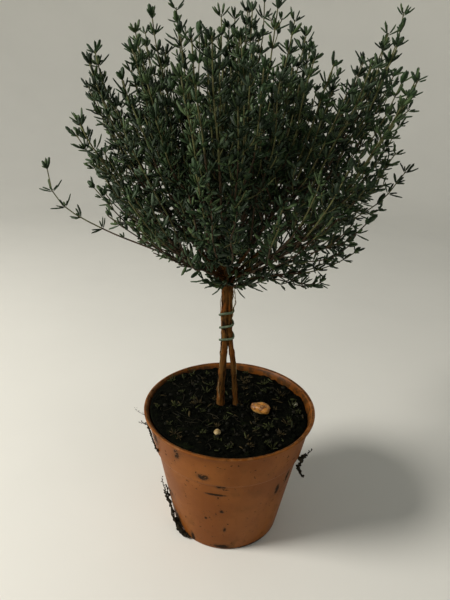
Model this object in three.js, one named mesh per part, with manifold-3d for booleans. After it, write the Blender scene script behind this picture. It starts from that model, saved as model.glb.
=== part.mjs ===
// Garden thyme grown as a small standard: two bare stems, bound together with soft wire, carry
// a wide open head of leafy shoots, and stand in a round nursery pot of damp compost.
// Millimetres, +Z up. The origin is the centre of the pot's flat underside.

import * as THREE from "three";
import { mergeVertices } from "three/addons/utils/BufferGeometryUtils.js";
import Module from "manifold-3d";

const wasm = await Module();
wasm.setup();

// ---- Driving dimensions -------------------------------------------------------------------

const clearance = 0.3; // between solids that meet without being one piece
const goldenTurn = Math.PI * (3 - Math.sqrt(5));
const spiralStep = 0.754877666; // spreads numbers evenly from 0 to 1

const pot = {
  height: 84,
  footRadius: 34,
  bodyTopRadius: 49.6, // the tapered body's outside, carried up to the rim
  collarHeight: 24, // the band under the rim
  collarProud: 1.4, // how far the band stands out of the body
  lipProud: 1.5, // how far the rim stands out of the band
  lipHeight: 1.6,
  lipWidth: 1.7,
  wall: 1.2,
  floor: 2,
  holes: 6,
  holeRadius: 3.5,
  holeRing: 23,
  sides: 40,
};

const soil = { top: 79.5 };

// Stones that lie on the compost: place on the soil, half-widths and turn.
const stones = [
  { name: "stone_amber", at: [19.7, -1], size: [6, 4.6, 4], turn: -25, detail: 1 },
  { name: "stone_cream", at: [-6.9, -28.5], size: [2.2, 2, 2.4], turn: 10, detail: 0 },
  { name: "stone_pale", at: [42, 8], size: [1.7, 1.5, 1.8], turn: 40, detail: 0 },
];

// Each stem: stations of [x, y, height over the soil], radius at the foot and at the top.
const stems = [
  {
    name: "stem_left",
    stations: [
      [-5.3, 2.5, 0],
      [-5.7, 2.4, 11],
      [-5.9, 2.2, 19],
      [-4.9, 2, 31],
      [-4.8, 2, 46],
      [-5.4, 2, 66],
      [-5.2, 2, 91],
    ],
    footRadius: 1.95,
    topRadius: 1.65,
  },
  {
    name: "stem_right",
    stations: [
      [4, 4, 0],
      [3, 3.7, 12],
      [1.7, 3, 26],
      [0.4, 2.3, 38],
      [-1.1, 2, 49],
      [-1.9, 2, 66],
      [-1.8, 2, 87],
    ],
    footRadius: 1.45,
    topRadius: 1.35,
  },
];
const flare = { swell: 0.32, height: 4 }; // root flare: share of radius, and how fast it fades
const knot = { swell: 0.12, spacing: 13 }; // old leaf joints along a stem

const tie = { wireRadius: 0.85, low: 47, pitch: 8.2, turns: 2.6, tail: 1, backRise: 0.5, slack: 0.35 };

// The boughs spread from here. A limb that sets off at a lean from the vertical lifts as it
// goes: at a distance r its lean is lean * (1 - lift * (r / liftReach) ** liftPower).
const head = new THREE.Vector3(-3.7, 2, 165);
const lift = 0.28;
const liftReach = 140;
const liftPower = 1.5;

// The lean of the lowest shoots, and by how much less they lean on the side of -Y, where the
// crown's underside is held up.
const underside = { lean: 104, heldUp: 33 };

// How far the shoots reach from the head: the most if they set off steeper than one lean in
// degrees, the least past another, and the shares by which they reach further towards +X high up
// and low down.
const envelope = { most: 144, least: 50, from: 42, to: 92, highRight: 0.03, lowRight: 0.32 };

// Where the crown is hollow or stands proud: azimuth and lean of the middle and how wide it is,
// in degrees, and the share of the reach.
const dents = [
  { azimuth: 0, lean: 6, wide: 6, share: 0.1 },
  { azimuth: -42, lean: 32, wide: 8, share: -0.12 },
  { azimuth: 0, lean: 29, wide: 7, share: -0.2 },
  { azimuth: 42, lean: 36, wide: 8, share: -0.12 },
  { azimuth: 0, lean: 46, wide: 7, share: 0.06 },
  { azimuth: 0, lean: 61, wide: 7, share: 0.2 },
  { azimuth: 185, lean: 38, wide: 5, share: 0.04 },
  { azimuth: 190, lean: 52, wide: 6, share: -0.2 },
  { azimuth: 165, lean: 63, wide: 7, share: 0.22 },
  { azimuth: 195, lean: 63, wide: 7, share: 0.26 },
  { azimuth: 180, lean: 78, wide: 8, share: -0.14 },
  { azimuth: 180, lean: 93, wide: 14, share: -0.6 },
];

// Tiers of boughs, from the top of the head down. Angles are in degrees, lengths in mm: bough is
// where the limb enters its mass, rise is how far over or under the centre it leaves the stems,
// and shoots is how many side shoots each mass has.
const tiers = [
  { name: "crest", count: 3, lean: 18, turn: 75, bough: 24, rise: 6, radius: 1.2, shoots: 4 },
  { name: "upper", count: 6, lean: 46, turn: 10, bough: 22, rise: 3, radius: 1.2, shoots: 4 },
  { name: "shoulder", count: 7, lean: 67, turn: 13, bough: 18, rise: -1, radius: 1.1, shoots: 3 },
  { name: "skirt", count: 6, lean: 86, turn: 0, bough: 13, rise: -5, radius: 0.9, shoots: 2 },
];
const unevenReach = 0.05; // share by which one mass grows further or less far than its place
const unevenTurn = 7; // degrees by which a bough strays from its even place
const boughTaper = 0.7; // a bough's radius at its tip over that at its base
const riseFade = 0.6; // share of a bough over which it comes onto its tier's line

// One lone shoot of the skirt goes far out of the crown and then turns up.
const stray = {
  tier: "skirt",
  place: 3,
  lean: 68.5,
  reach: 121,
  lift: 0.205,
  liftReach: 117,
  liftPower: 11,
};

const shoots = {
  spread: 27, // degrees from the main shoot to the furthest side shoot
  firstFork: 0.03, // shares of the mass's length between which side shoots leave the main one
  lastFork: 0.34,
  shortest: 0.74, // share of the reach that the shortest side shoot goes
  shortestTwig: 10, // mm of a side shoot from its fork
  swing: 34, // mm over which a side shoot swings out to its own way
  mainRadius: 0.95,
  sideRadius: 0.7,
  tipRadius: 0.45,
  mainSteps: 4,
  sideSteps: 3,
};

const leaf = {
  length: 20,
  width: 8,
  thickness: 1.2,
  widest: 0.45, // share of its length
  open: 46, // degrees between a leaf and its shoot
  tuftOpen: 18, // the same for the last pair of a shoot
  fromTip: 3, // mm from a shoot's tip to its last pair
  step: 15.5, // mm between pairs
  sunk: 0.15, // mm by which its root goes past the shoot's axis
  mostShared: 0.05, // mm³ of it that may lie in the shoots and leaves it grows among
};

// ---- Small helpers ------------------------------------------------------------------------

const radians = THREE.MathUtils.degToRad;

// A number from 0 to 1 that depends only on its whole-number keys.
function chance(...keys) {
  let hash = 2166136261;
  for (const key of keys) {
    hash = Math.imul(hash ^ key, 16777619);
    hash ^= hash >>> 15;
  }
  hash = Math.imul(hash, 2246822519);
  return ((hash ^ (hash >>> 13)) >>> 0) / 4294967296;
}

// The same from -1 to 1.
const sway = (...keys) => 2 * chance(...keys) - 1;

const between = (low, high, share) => low + (high - low) * share;

// The closed solid of a three.js geometry.
function solidOf(geometry) {
  const bare = new THREE.BufferGeometry();
  bare.setAttribute("position", geometry.getAttribute("position"));
  bare.setIndex(geometry.index);
  const merged = mergeVertices(bare, 1e-4);
  return new wasm.Manifold(
    new wasm.Mesh({
      numProp: 3,
      vertProperties: merged.attributes.position.array,
      triVerts: new Uint32Array(merged.index.array),
    }),
  );
}

// The largest body of a solid as a geometry, without sealed hollows, loose scraps and slivers.
function geometryOf(solid) {
  const largestOf = (whole) => whole.decompose().sort((a, b) => b.volume() - a.volume())[0];
  const mesh = largestOf(largestOf(solid).simplify(0.01)).getMesh();
  const geometry = new THREE.BufferGeometry();
  geometry.setAttribute("position", new THREE.BufferAttribute(mesh.vertProperties, 3));
  geometry.setIndex(new THREE.BufferAttribute(mesh.triVerts, 1));
  geometry.computeVertexNormals();
  return geometry;
}

// The frame of a limb's section where it goes along a way: two directions square to it.
function sectionAt(along, across) {
  const side = across.clone().addScaledVector(along, -across.dot(along)).normalize();
  return { side, rise: new THREE.Vector3().crossVectors(side, along) };
}

// A closed tapering limb: a cylinder bent along its stations, with a corner of its section on the
// side of "across". radius(i) is the radius at station i.
function limb({ stations, radius, sides, across, flatFoot = false }) {
  const steps = stations.length - 1;
  const geometry = new THREE.CylinderGeometry(1, 1, 1, sides, steps);
  const corners = geometry.getAttribute("position");
  for (let i = 0; i < corners.count; i++) {
    const station = Math.round((corners.getY(i) + 0.5) * steps);
    const before = stations[Math.max(0, station - 1)];
    const after = stations[Math.min(steps, station + 1)];
    const { side, rise } = sectionAt(after.clone().sub(before).normalize(), across);
    const place = stations[station]
      .clone()
      .addScaledVector(side, corners.getX(i) * radius(station))
      .addScaledVector(rise, corners.getZ(i) * radius(station));
    if (flatFoot && station === 0) place.z = stations[0].z;
    corners.setXYZ(i, place.x, place.y, place.z);
  }
  return geometry;
}

// Evenly spaced stations of a path, which takes t from 0 to 1.
const stationsOf = (path, steps) => Array.from({ length: steps + 1 }, (_, i) => path(i / steps));

// Turns a lathe's own axis, which is Y, to Z.
function turned(profile, sides) {
  const points = profile.map(([radius, height]) => new THREE.Vector2(radius, height));
  return new THREE.LatheGeometry(points, sides).rotateX(Math.PI / 2);
}

// ---- Materials ----------------------------------------------------------------------------

const finish = (color, roughness) =>
  new THREE.MeshStandardMaterial({ color, roughness, metalness: 0 });
const terracotta = finish(0xa9623a, 0.5);
const compost = finish(0x1c1712, 0.95);
const bark = finish(0x6b4a2f, 0.85);
const wire = finish(0x5c7a52, 0.45);
const foliage = finish(0x34492a, 0.65);
const stoneFinishes = [finish(0xb58a45, 0.6), finish(0xd8c9a0, 0.6), finish(0xc9c8bc, 0.6)];

// ---- Pot and compost ----------------------------------------------------------------------

const outsideAt = (z) => between(pot.footRadius, pot.bodyTopRadius, z / pot.height);
const stepUp = 0.5; // height of the sloping step by which the wall widens into the collar
const stepFoot = pot.height - pot.collarHeight + pot.wall; // the same step on the inside
const insideAt = (z) => outsideAt(z) - pot.wall + (z > stepFoot ? pot.collarProud : 0);

function potSolid() {
  const collarFoot = pot.height - pot.collarHeight;
  const lipFoot = pot.height - pot.lipHeight;
  const edge = 0.5; // small bevels at the foot and rim
  const profile = [
    [0, 0],
    [pot.footRadius - edge, 0],
    [pot.footRadius, edge],
    [outsideAt(collarFoot), collarFoot],
    [outsideAt(collarFoot) + pot.collarProud, collarFoot + stepUp],
    [outsideAt(lipFoot) + pot.collarProud, lipFoot],
    [outsideAt(pot.height) + pot.collarProud + pot.lipProud, lipFoot + edge],
    [outsideAt(pot.height) + pot.collarProud + pot.lipProud - edge, pot.height],
    [outsideAt(pot.height) + pot.collarProud + pot.lipProud - pot.lipWidth, pot.height],
    [insideAt(lipFoot), lipFoot],
    [insideAt(stepFoot + stepUp), stepFoot + stepUp],
    [insideAt(stepFoot), stepFoot],
    [insideAt(pot.floor), pot.floor],
    [0, pot.floor],
  ];
  let solid = solidOf(turned(profile, pot.sides));
  for (let i = 0; i < pot.holes; i++) {
    const angle = ((i + 0.5) / pot.holes) * 2 * Math.PI;
    const hole = new THREE.CylinderGeometry(pot.holeRadius, pot.holeRadius, 4 * pot.floor, 10)
      .rotateX(Math.PI / 2)
      .translate(pot.holeRing * Math.cos(angle), pot.holeRing * Math.sin(angle), 0);
    solid = solid.subtract(solidOf(hole));
  }
  return geometryOf(solid);
}

function soilSolid() {
  const foot = pot.floor;
  return turned(
    [
      [0, foot],
      [insideAt(foot) - clearance, foot],
      [insideAt(stepFoot) - clearance, stepFoot + clearance],
      [insideAt(stepFoot + stepUp) - clearance, stepFoot + stepUp + clearance],
      [insideAt(soil.top) - clearance, soil.top],
      [0, soil.top],
    ],
    pot.sides,
  );
}

// A rounded stone with a flat underside.
function stoneSolid({ at, size, turn, detail }, seed) {
  const geometry = mergeVertices(
    new THREE.IcosahedronGeometry(1, detail).deleteAttribute("normal").deleteAttribute("uv"),
  );
  const corners = geometry.getAttribute("position");
  for (let i = 0; i < corners.count; i++) {
    const bulge = between(0.88, 1.08, chance(seed, i));
    const height = Math.max(corners.getZ(i) * bulge, -0.35) + 0.35;
    const [x, y] = [corners.getX(i) * bulge * size[0], corners.getY(i) * bulge * size[1]];
    corners.setXYZ(i, x, y, height * size[2]);
  }
  return geometry.rotateZ(radians(turn)).translate(at[0], at[1], soil.top);
}

// ---- Stems and their tie ------------------------------------------------------------------

const stemCurve = ({ stations }) =>
  new THREE.CatmullRomCurve3(stations.map(([x, y, up]) => new THREE.Vector3(x, y, soil.top + up)));

const tallOf = ({ stations }) => stations[stations.length - 1][2];

// A stem's radius at a height over the soil: taper, root flare and old leaf joints.
function radiusAt(stem, up) {
  const taper = between(stem.footRadius, stem.topRadius, up / tallOf(stem));
  const joint = knot.swell * Math.max(0, Math.cos((2 * Math.PI * up) / knot.spacing)) ** 4;
  return taper * (1 + flare.swell * Math.exp(-up / flare.height) + joint);
}

function stemGeometry(stem, extra = 0) {
  const curve = stemCurve(stem);
  const stations = stationsOf((t) => curve.getPoint(t), 14);
  return limb({
    stations,
    radius: (i) => radiusAt(stem, stations[i].z - soil.top) + extra,
    sides: 8,
    across: new THREE.Vector3(1, 0, 0),
    flatFoot: extra === 0,
  });
}

// The wire winds round both stems, level in front and rising behind, with a short tail at each end.
class TieCurve extends THREE.Curve {
  getPoint(t, target = new THREE.Vector3()) {
    const turn = t * tie.turns * 2 * Math.PI;
    const angle = Math.PI + turn;
    const up = tie.low + (tie.pitch * (turn - tie.backRise * Math.cos(angle))) / (2 * Math.PI);
    const [left, right] = stems.map((stem) => stemCurve(stem).getPoint(up / tallOf(stem)));
    const towardsRight = (1 + THREE.MathUtils.clamp(2 * Math.cos(angle), -1, 1)) / 2;
    const stemRadius = between(radiusAt(stems[0], up), radiusAt(stems[1], up), towardsRight);
    const tail = tie.tail * Math.max(0, 1 - t * 14, (t - 1) * 14 + 1) ** 2;
    const out = stemRadius + clearance + tie.slack + tie.wireRadius + tail;
    const middle = left.lerp(right, towardsRight);
    return target.set(middle.x + out * Math.cos(angle), middle.y + out * Math.sin(angle), soil.top + up);
  }
}

function tieGeometry() {
  const section = new THREE.Shape().absarc(0, 0, tie.wireRadius, 0, 2 * Math.PI);
  return new THREE.ExtrudeGeometry(section, {
    extrudePath: new TieCurve(),
    steps: 36,
    curveSegments: 3,
    bevelEnabled: false,
  });
}

// ---- Boughs -------------------------------------------------------------------------------

// The direction at an azimuth and a lean from the vertical.
const wayOf = (azimuth, lean) =>
  new THREE.Vector3(
    Math.sin(lean) * Math.cos(azimuth),
    Math.sin(lean) * Math.sin(azimuth),
    Math.cos(lean),
  );

const lowestLean = (azimuth) =>
  radians(underside.lean - underside.heldUp * Math.max(0, -Math.sin(azimuth)));

// A point at a distance r from the head on a limb that set off at this azimuth and lean.
function limbAt(azimuth, lean, r, rule = { lift, liftReach, liftPower }) {
  const now = lean * (1 - rule.lift * (r / rule.liftReach) ** rule.liftPower);
  return wayOf(azimuth, now).multiplyScalar(r).add(head);
}

// The azimuth and lean at which the limb through a point set off from the head.
function settingOff(point) {
  const from = point.clone().sub(head);
  const r = from.length();
  return {
    azimuth: Math.atan2(from.y, from.x),
    lean: Math.acos(from.z / r) / (1 - lift * (r / liftReach) ** liftPower),
  };
}

// How far shoots reach that set off at this azimuth and lean.
function reachAt(azimuth, lean) {
  const low = THREE.MathUtils.smoothstep(lean, radians(envelope.from), radians(envelope.to));
  const way = wayOf(azimuth, lean);
  let shape = 1 + between(envelope.highRight, envelope.lowRight, low) * Math.cos(azimuth);
  for (const dent of dents) {
    const middle = wayOf(radians(dent.azimuth), radians(dent.lean));
    shape += dent.share * Math.exp(-0.5 * (way.distanceTo(middle) / radians(dent.wide)) ** 2);
  }
  return between(envelope.most, envelope.least, low) * shape;
}

// Every mass with its bough: the azimuth and lean at which it sets off, how far it reaches, the
// rule by which it lifts, and the middle of its space as a way with two directions square to it.
function plan() {
  const masses = [];
  tiers.forEach((tier, level) => {
    for (let i = 0; i < tier.count; i++) {
      const strays = tier.name === stray.tier && i === stray.place;
      const uneven = strays ? 0 : unevenTurn * sway(level, i, 1);
      const azimuth = radians(tier.turn + (360 * i) / tier.count + uneven);
      const lean = radians(tier.lean) * (lowestLean(azimuth) / radians(underside.lean));
      const vigour = 1 + unevenReach * sway(level, i, 2);
      masses.push({
        ...tier,
        name: `${tier.name}_${i + 1}`,
        seed: 100 * (level + 1) + i,
        azimuth,
        lean: strays ? radians(stray.lean) : lean,
        vigour,
        reach: strays ? stray.reach : vigour * reachAt(azimuth, lean),
        rule: strays ? stray : { lift, liftReach, liftPower },
        strays,
      });
    }
  });
  for (const mass of masses) {
    const { azimuth, lean } = settingOff(massAt(mass, 0.7 * mass.reach));
    mass.way = wayOf(azimuth, lean);
    mass.level = new THREE.Vector3(0, 0, 1).cross(mass.way).normalize();
    mass.upward = new THREE.Vector3().crossVectors(mass.way, mass.level);
    mass.stations = stationsOf((t) => boughAt(mass, t * mass.bough), 3);
  }
  return masses;
}

const massAt = (mass, r) => limbAt(mass.azimuth, mass.lean, r, mass.rule);

// The bough's own line leaves the stems over or under the head's centre.
function boughAt(mass, r) {
  const fade = Math.max(0, 1 - r / (riseFade * mass.bough)) ** 2;
  return massAt(mass, r).add(new THREE.Vector3(0, 0, mass.rise * fade));
}

const boughTube = ({ stations, radius, level }, extra = 0) =>
  limb({
    stations,
    radius: (i) => radius * between(1, boughTaper, i / (stations.length - 1)) + extra,
    sides: 5,
    across: level,
  });

// ---- Masses of foliage --------------------------------------------------------------------

// A point keeps to a mass's space if its way out of the head is nearer to that mass's than to
// any other's, and it is neither in among the boughs, nor under the crown, nor past its reach.
function inSpace(mass, point, masses) {
  const r = point.distanceTo(head);
  const { azimuth, lean } = settingOff(point);
  const furthest = mass.vigour * reachAt(azimuth, lean);
  if (r < mass.bough + clearance || lean > lowestLean(azimuth)) return false;
  if (r > (mass.strays ? Math.max(furthest, mass.reach) : furthest)) return false;
  const way = wayOf(azimuth, lean);
  return masses.every((other) => {
    if (other === mass) return true;
    const across = mass.way.clone().sub(other.way).normalize();
    return way.dot(across) * r > clearance;
  });
}

function clearOfBoughs(point, masses) {
  const nearest = new THREE.Vector3();
  return masses.every(({ stations, radius }) =>
    stations.slice(1).every((end, i) => {
      new THREE.Line3(stations[i], end).closestPointToPoint(point, true, nearest);
      return nearest.distanceTo(point) > radius + clearance;
    }),
  );
}

// A side shoot leaves the main one at a fork and swings out to a way of its own.
function shootAt(mass, shoot, r) {
  const onMain = massAt(mass, r);
  if (!shoot.way) return onMain;
  const stillToSwing = 1 - Math.min(1, (r - shoot.fork) / shoots.swing);
  return onMain.lerp(limbAt(shoot.way.azimuth, shoot.way.lean, r), 1 - stillToSwing ** 2);
}

// A side shoot's own way: the k-th of a spiral of ways spread evenly round the main one.
function sideWay(mass, k) {
  const away = radians(shoots.spread) * Math.sqrt((k * spiralStep) % 1);
  const turn = k * goldenTurn + 2 * Math.PI * chance(mass.seed, 7);
  const way = mass.way
    .clone()
    .multiplyScalar(Math.cos(away))
    .addScaledVector(mass.level, Math.sin(away) * Math.cos(turn))
    .addScaledVector(mass.upward, Math.sin(away) * Math.sin(turn));
  return { azimuth: Math.atan2(way.y, way.x), lean: Math.acos(way.z) };
}

// The main shoot first, then side shoots whose tips keep to the mass's space, each with its
// stations, its radius at the fork and the side to which a corner of its section points.
function shootsOf(mass, masses) {
  const seed = 50 * mass.seed;
  const found = [{ fork: mass.bough + clearance, tip: mass.reach - leaf.length, seed }];
  for (let k = 1; found.length <= mass.shoots && k < 50; k++) {
    const way = sideWay(mass, k);
    const furthest = mass.vigour * reachAt(way.azimuth, way.lean);
    const forkShare = between(shoots.firstFork, shoots.lastFork, chance(mass.seed, k, 8));
    const fork = between(mass.bough, furthest, forkShare);
    const tipShare = between(shoots.shortest, 1, chance(mass.seed, k, 9));
    const tip = (furthest - leaf.length) * tipShare;
    if (tip < fork + shoots.shortestTwig) continue;
    if (inSpace(mass, limbAt(way.azimuth, way.lean, tip), masses))
      found.push({ way, fork, tip, seed: seed + k });
  }
  for (const shoot of found) {
    const roll = (Math.PI / 2) * chance(shoot.seed, 3);
    shoot.across = mass.level.clone().applyAxisAngle(mass.way, roll);
    shoot.radius = shoot.way ? shoots.sideRadius : shoots.mainRadius;
    shoot.stations = stationsOf(
      (t) => shootAt(mass, shoot, between(shoot.fork, shoot.tip, t)),
      shoot.way ? shoots.sideSteps : shoots.mainSteps,
    );
  }
  return found;
}

// An eight-faced blade from its root along +X.
function leafGeometry(length) {
  const scale = length / leaf.length;
  const blade = new THREE.OctahedronGeometry(1);
  const corners = blade.getAttribute("position");
  for (let i = 0; i < corners.count; i++) {
    const along = corners.getX(i) ? (corners.getX(i) + 1) / 2 : leaf.widest;
    corners.setXYZ(
      i,
      along * length,
      (corners.getY(i) * leaf.width * scale) / 2,
      (corners.getZ(i) * leaf.thickness) / 2,
    );
  }
  return blade;
}

// A leaf in its place on a shoot, at an angle to the shoot's way and with its face turned to it.
function leafAt(root, along, outward, open, length) {
  const way = along.clone().multiplyScalar(Math.cos(open)).addScaledVector(outward, Math.sin(open));
  const across = new THREE.Vector3().crossVectors(along, outward).normalize();
  const face = new THREE.Vector3().crossVectors(way, across);
  const sunk = root.clone().addScaledVector(way, -leaf.sunk);
  const placed = new THREE.Matrix4().makeBasis(way, across, face).setPosition(sunk);
  return leafGeometry(length).applyMatrix4(placed);
}

// Whether a leaf keeps to its mass's space and clear of every bough.
function keepsClear(blade, mass, masses) {
  const corners = blade.getAttribute("position");
  const corner = new THREE.Vector3();
  const middle = new THREE.Vector3();
  for (let i = 0; i < corners.count; i++) {
    corner.fromBufferAttribute(corners, i);
    middle.addScaledVector(corner, 1 / corners.count);
    if (!inSpace(mass, corner, masses) || !clearOfBoughs(corner, masses)) return false;
  }
  return clearOfBoughs(middle, masses);
}

// Pairs of leaves down a shoot from the tuft at its tip, each pair crosswise to the last.
function leavesOf(mass, shoot, masses) {
  const leaves = [];
  const steps = shoot.stations.length - 1;
  const long = shoot.tip - shoot.fork;
  for (let j = 0; j * leaf.step + leaf.fromTip < long; j++) {
    const place = steps * (1 - (j * leaf.step + leaf.fromTip) / long);
    const before = shoot.stations[Math.floor(place)];
    const after = shoot.stations[Math.floor(place) + 1];
    const root = before.clone().lerp(after, place % 1);
    const along = after.clone().sub(before).normalize();
    const { side, rise } = sectionAt(along, shoot.across);
    const outward = j % 2 ? rise : side;
    for (const half of [0, 1]) {
      const spread = between(0.85, 1.1, chance(shoot.seed, j, half));
      const open = radians(j ? leaf.open : leaf.tuftOpen) * spread;
      const length = leaf.length * between(0.8, 1, chance(shoot.seed, j, half + 5));
      leaves.push(leafAt(root, along, outward, open, length));
      outward.negate();
    }
  }
  return leaves.filter((blade) => keepsClear(blade, mass, masses));
}

// The shoots first, then each leaf that finds room among them and the leaves before it.
function massSolid(mass, masses) {
  const all = shootsOf(mass, masses);
  let solid = wasm.Manifold.union(
    all.map(({ stations, across, radius }) =>
      solidOf(
        limb({
          stations,
          radius: (i) => between(radius, shoots.tipRadius, i / (stations.length - 1)),
          sides: 3,
          across,
        }),
      ),
    ),
  );
  for (const shoot of all) {
    for (const blade of leavesOf(mass, shoot, masses).map(solidOf)) {
      if (solid.intersect(blade).volume() < leaf.mostShared) solid = solid.add(blade);
    }
  }
  return geometryOf(solid);
}

// ---- The plant ----------------------------------------------------------------------------

const plant = new THREE.Group();

function add(name, geometry, material) {
  const mesh = new THREE.Mesh(geometry, material);
  mesh.name = name;
  plant.add(mesh);
}

add("pot", potSolid(), terracotta);
add("soil", soilSolid(), compost);
stones.forEach((stone, i) => add(stone.name, stoneSolid(stone, i + 1), stoneFinishes[i]));
for (const stem of stems) add(stem.name, stemGeometry(stem), bark);
add("tie", tieGeometry(), wire);

const masses = plan();

// Each bough is cut clear of the stems and of the boughs made before it.
let taken = wasm.Manifold.union(stems.map((stem) => solidOf(stemGeometry(stem, clearance))));
for (const mass of masses) {
  add(`bough_${mass.name}`, geometryOf(solidOf(boughTube(mass)).subtract(taken)), bark);
  taken = taken.add(solidOf(boughTube(mass, clearance)));
}

for (const mass of masses) add(`foliage_${mass.name}`, massSolid(mass, masses), foliage);

export default plant;
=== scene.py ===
# Garden thyme grown as a small standard: two bare stems bound with soft wire carry a wide head
# of leafy shoots above a terracotta-coloured nursery pot. Shapes are worked out in millimetres,
# +Z up, from the middle of the pot's flat underside, and become metres in the meshes.

import math

import bpy
import numpy as np
from mathutils import Matrix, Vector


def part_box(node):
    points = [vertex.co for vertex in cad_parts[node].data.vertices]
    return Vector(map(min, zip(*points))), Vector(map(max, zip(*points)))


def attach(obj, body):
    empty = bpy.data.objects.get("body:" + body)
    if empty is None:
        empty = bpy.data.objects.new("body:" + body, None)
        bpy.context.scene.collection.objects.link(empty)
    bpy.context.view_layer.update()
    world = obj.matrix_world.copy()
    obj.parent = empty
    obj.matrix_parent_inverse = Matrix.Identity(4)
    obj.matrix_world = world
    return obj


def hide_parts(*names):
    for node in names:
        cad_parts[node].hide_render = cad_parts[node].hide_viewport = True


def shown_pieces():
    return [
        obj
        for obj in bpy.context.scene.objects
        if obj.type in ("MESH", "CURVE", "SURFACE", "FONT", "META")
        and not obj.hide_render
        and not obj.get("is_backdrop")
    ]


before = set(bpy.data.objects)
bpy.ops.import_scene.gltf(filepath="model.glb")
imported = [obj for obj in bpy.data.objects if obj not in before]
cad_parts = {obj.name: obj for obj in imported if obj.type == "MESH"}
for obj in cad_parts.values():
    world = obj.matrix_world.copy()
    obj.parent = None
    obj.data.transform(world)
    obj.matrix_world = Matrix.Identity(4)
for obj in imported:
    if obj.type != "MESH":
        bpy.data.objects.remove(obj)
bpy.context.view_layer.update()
mm = 0.001
print("frame loaded:", len(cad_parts), "nodes")

goldenTurn = math.pi * (3 - math.sqrt(5))
spiralStep = 0.754877666  # spreads numbers evenly from 0 to 1
upwards = np.array([0.0, 0.0, 1.0])
sideways = np.array([1.0, 0.0, 0.0])


# low where share is 0, high where it is 1, in a straight line between
def between(low, high, share):
    return low + (high - low) * share


# 0 below low, 1 above high, a smooth S between
def easeIn(low, high, value):
    share = np.clip((value - low) / (high - low), 0, 1)
    return share * share * (3 - 2 * share)


# a number from 0 to 1 that depends only on whole-number keys, one by one or as whole arrays
def chance(*keys):
    mask = np.uint64(0xFFFFFFFF)
    mixed = np.uint64(2166136261)
    for key in keys:
        mixed = ((mixed ^ np.asarray(key).astype(np.uint64)) * np.uint64(16777619)) & mask
        mixed = mixed ^ (mixed >> np.uint64(15))
    mixed = (mixed * np.uint64(2246822519)) & mask
    return (mixed ^ (mixed >> np.uint64(13))).astype(np.float64) / 4294967296


# the same from -1 to 1
def sway(*keys):
    return 2 * chance(*keys) - 1


# the vectors divided by their lengths
def unit(vectors):
    return vectors / np.maximum(np.linalg.norm(vectors, axis=-1, keepdims=True), 1e-9)


# one vector times the other, added up over the axes
def dot(one, other):
    return np.sum(one * other, axis=-1, keepdims=True)


# the part of a vector that is square to a way, brought to length 1
def squareTo(way, vectors):
    return unit(vectors - way * dot(vectors, way))


# smooth noise from -1 to 1: random values on a cubic grid of that size, eased between corners
def lumps(points, size, seed):
    spot = points / size + 4096.0  # far from 0, so that no corner's number is negative
    corner = np.floor(spot).astype(np.int64)
    part = spot - corner
    part = part * part * (3 - 2 * part)
    total = 0.0
    for step in np.ndindex(2, 2, 2):
        at = corner + np.array(step)
        weight = np.prod(np.where(step, part, 1 - part), axis=-1)
        total = total + weight * chance(seed, at[..., 0], at[..., 1], at[..., 2])
    return 2 * total - 1


# that noise with a finer one on it, half the size and half as strong
def rough(points, size, seed):
    return lumps(points, size, seed) + lumps(points, size / 2, seed + 1) / 2


# three such noises, one for each axis
def drift(points, size, seed):
    return np.stack([lumps(points, size, seed + i) for i in range(3)], -1)


# any turn, in radians, by the same keys
def anyTurn(*keys):
    return 6.3 * chance(*keys)


# x, y and z as one array of points
def pointsOf(x, y, z):
    return np.stack([x, y, z], -1)


# the cosines and sines of angles evenly round a circle
def circle(sides):
    angle = np.linspace(0, 2 * np.pi, sides, endpoint=False)
    return np.cos(angle), np.sin(angle)


# 1 at the two ends of t from 0 to 1, falling to 0 over a share of the length that is 1 / steep
def nearEnds(t, steep):
    return np.maximum(0, np.maximum(1 - t * steep, (t - 1) * steep + 1))


# the four-cornered faces of a grid of rows and columns, its last column joined to the first
def gridFaces(rows, columns):
    row = np.arange(rows - 1)[:, None]
    column = np.arange(columns)[None, :]
    after = (column + 1) % columns
    corners = [row * columns + column, (row + 1) * columns + column]
    corners += [(row + 1) * columns + after, row * columns + after]
    return np.stack(np.broadcast_arrays(*corners), -1).reshape(-1, 4)


# rings round paths (..., stations, 3): at each station, radius times the cosine and sine of the
# angle in the plane square to the path, the first corner on the side of across, which is one
# vector for all paths or one for each
def ringsAlong(paths, radius, across, sides, flat=1.0):
    along = unit(np.gradient(paths, axis=-2))
    side = squareTo(along, np.broadcast_to(across[..., None, :], along.shape))
    rise = np.cross(side, along)
    c, s = (part[:, None] for part in circle(sides))
    ring = c * side[..., None, :] + flat * s * rise[..., None, :]
    return paths[..., None, :] + np.asarray(radius)[..., None, None] * ring


# closes stacks of rings (count, stations, sides, 3) with a point at each end
def closedTubes(rings, foot, tip):
    count, stations, sides = rings.shape[:3]
    size = stations * sides + 2
    points = np.concatenate([rings.reshape(count, -1, 3), foot[:, None], tip[:, None]], axis=1)
    here = np.arange(sides)
    after = (here + 1) % sides
    last = (stations - 1) * sides
    ends = [np.stack([here * 0 + size - 2, here, after], -1)]
    ends.append(np.stack([here * 0 + size - 1, last + after, last + here], -1))
    starts = np.arange(count)[:, None, None] * size
    quads = (gridFaces(stations, sides) + starts).reshape(-1, 4)
    caps = (np.concatenate(ends) + starts).reshape(-1, 3)
    return points.reshape(-1, 3), [quads, caps]


patternGap = 50  # mm by which the patterns of a batch's limbs are apart


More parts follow.
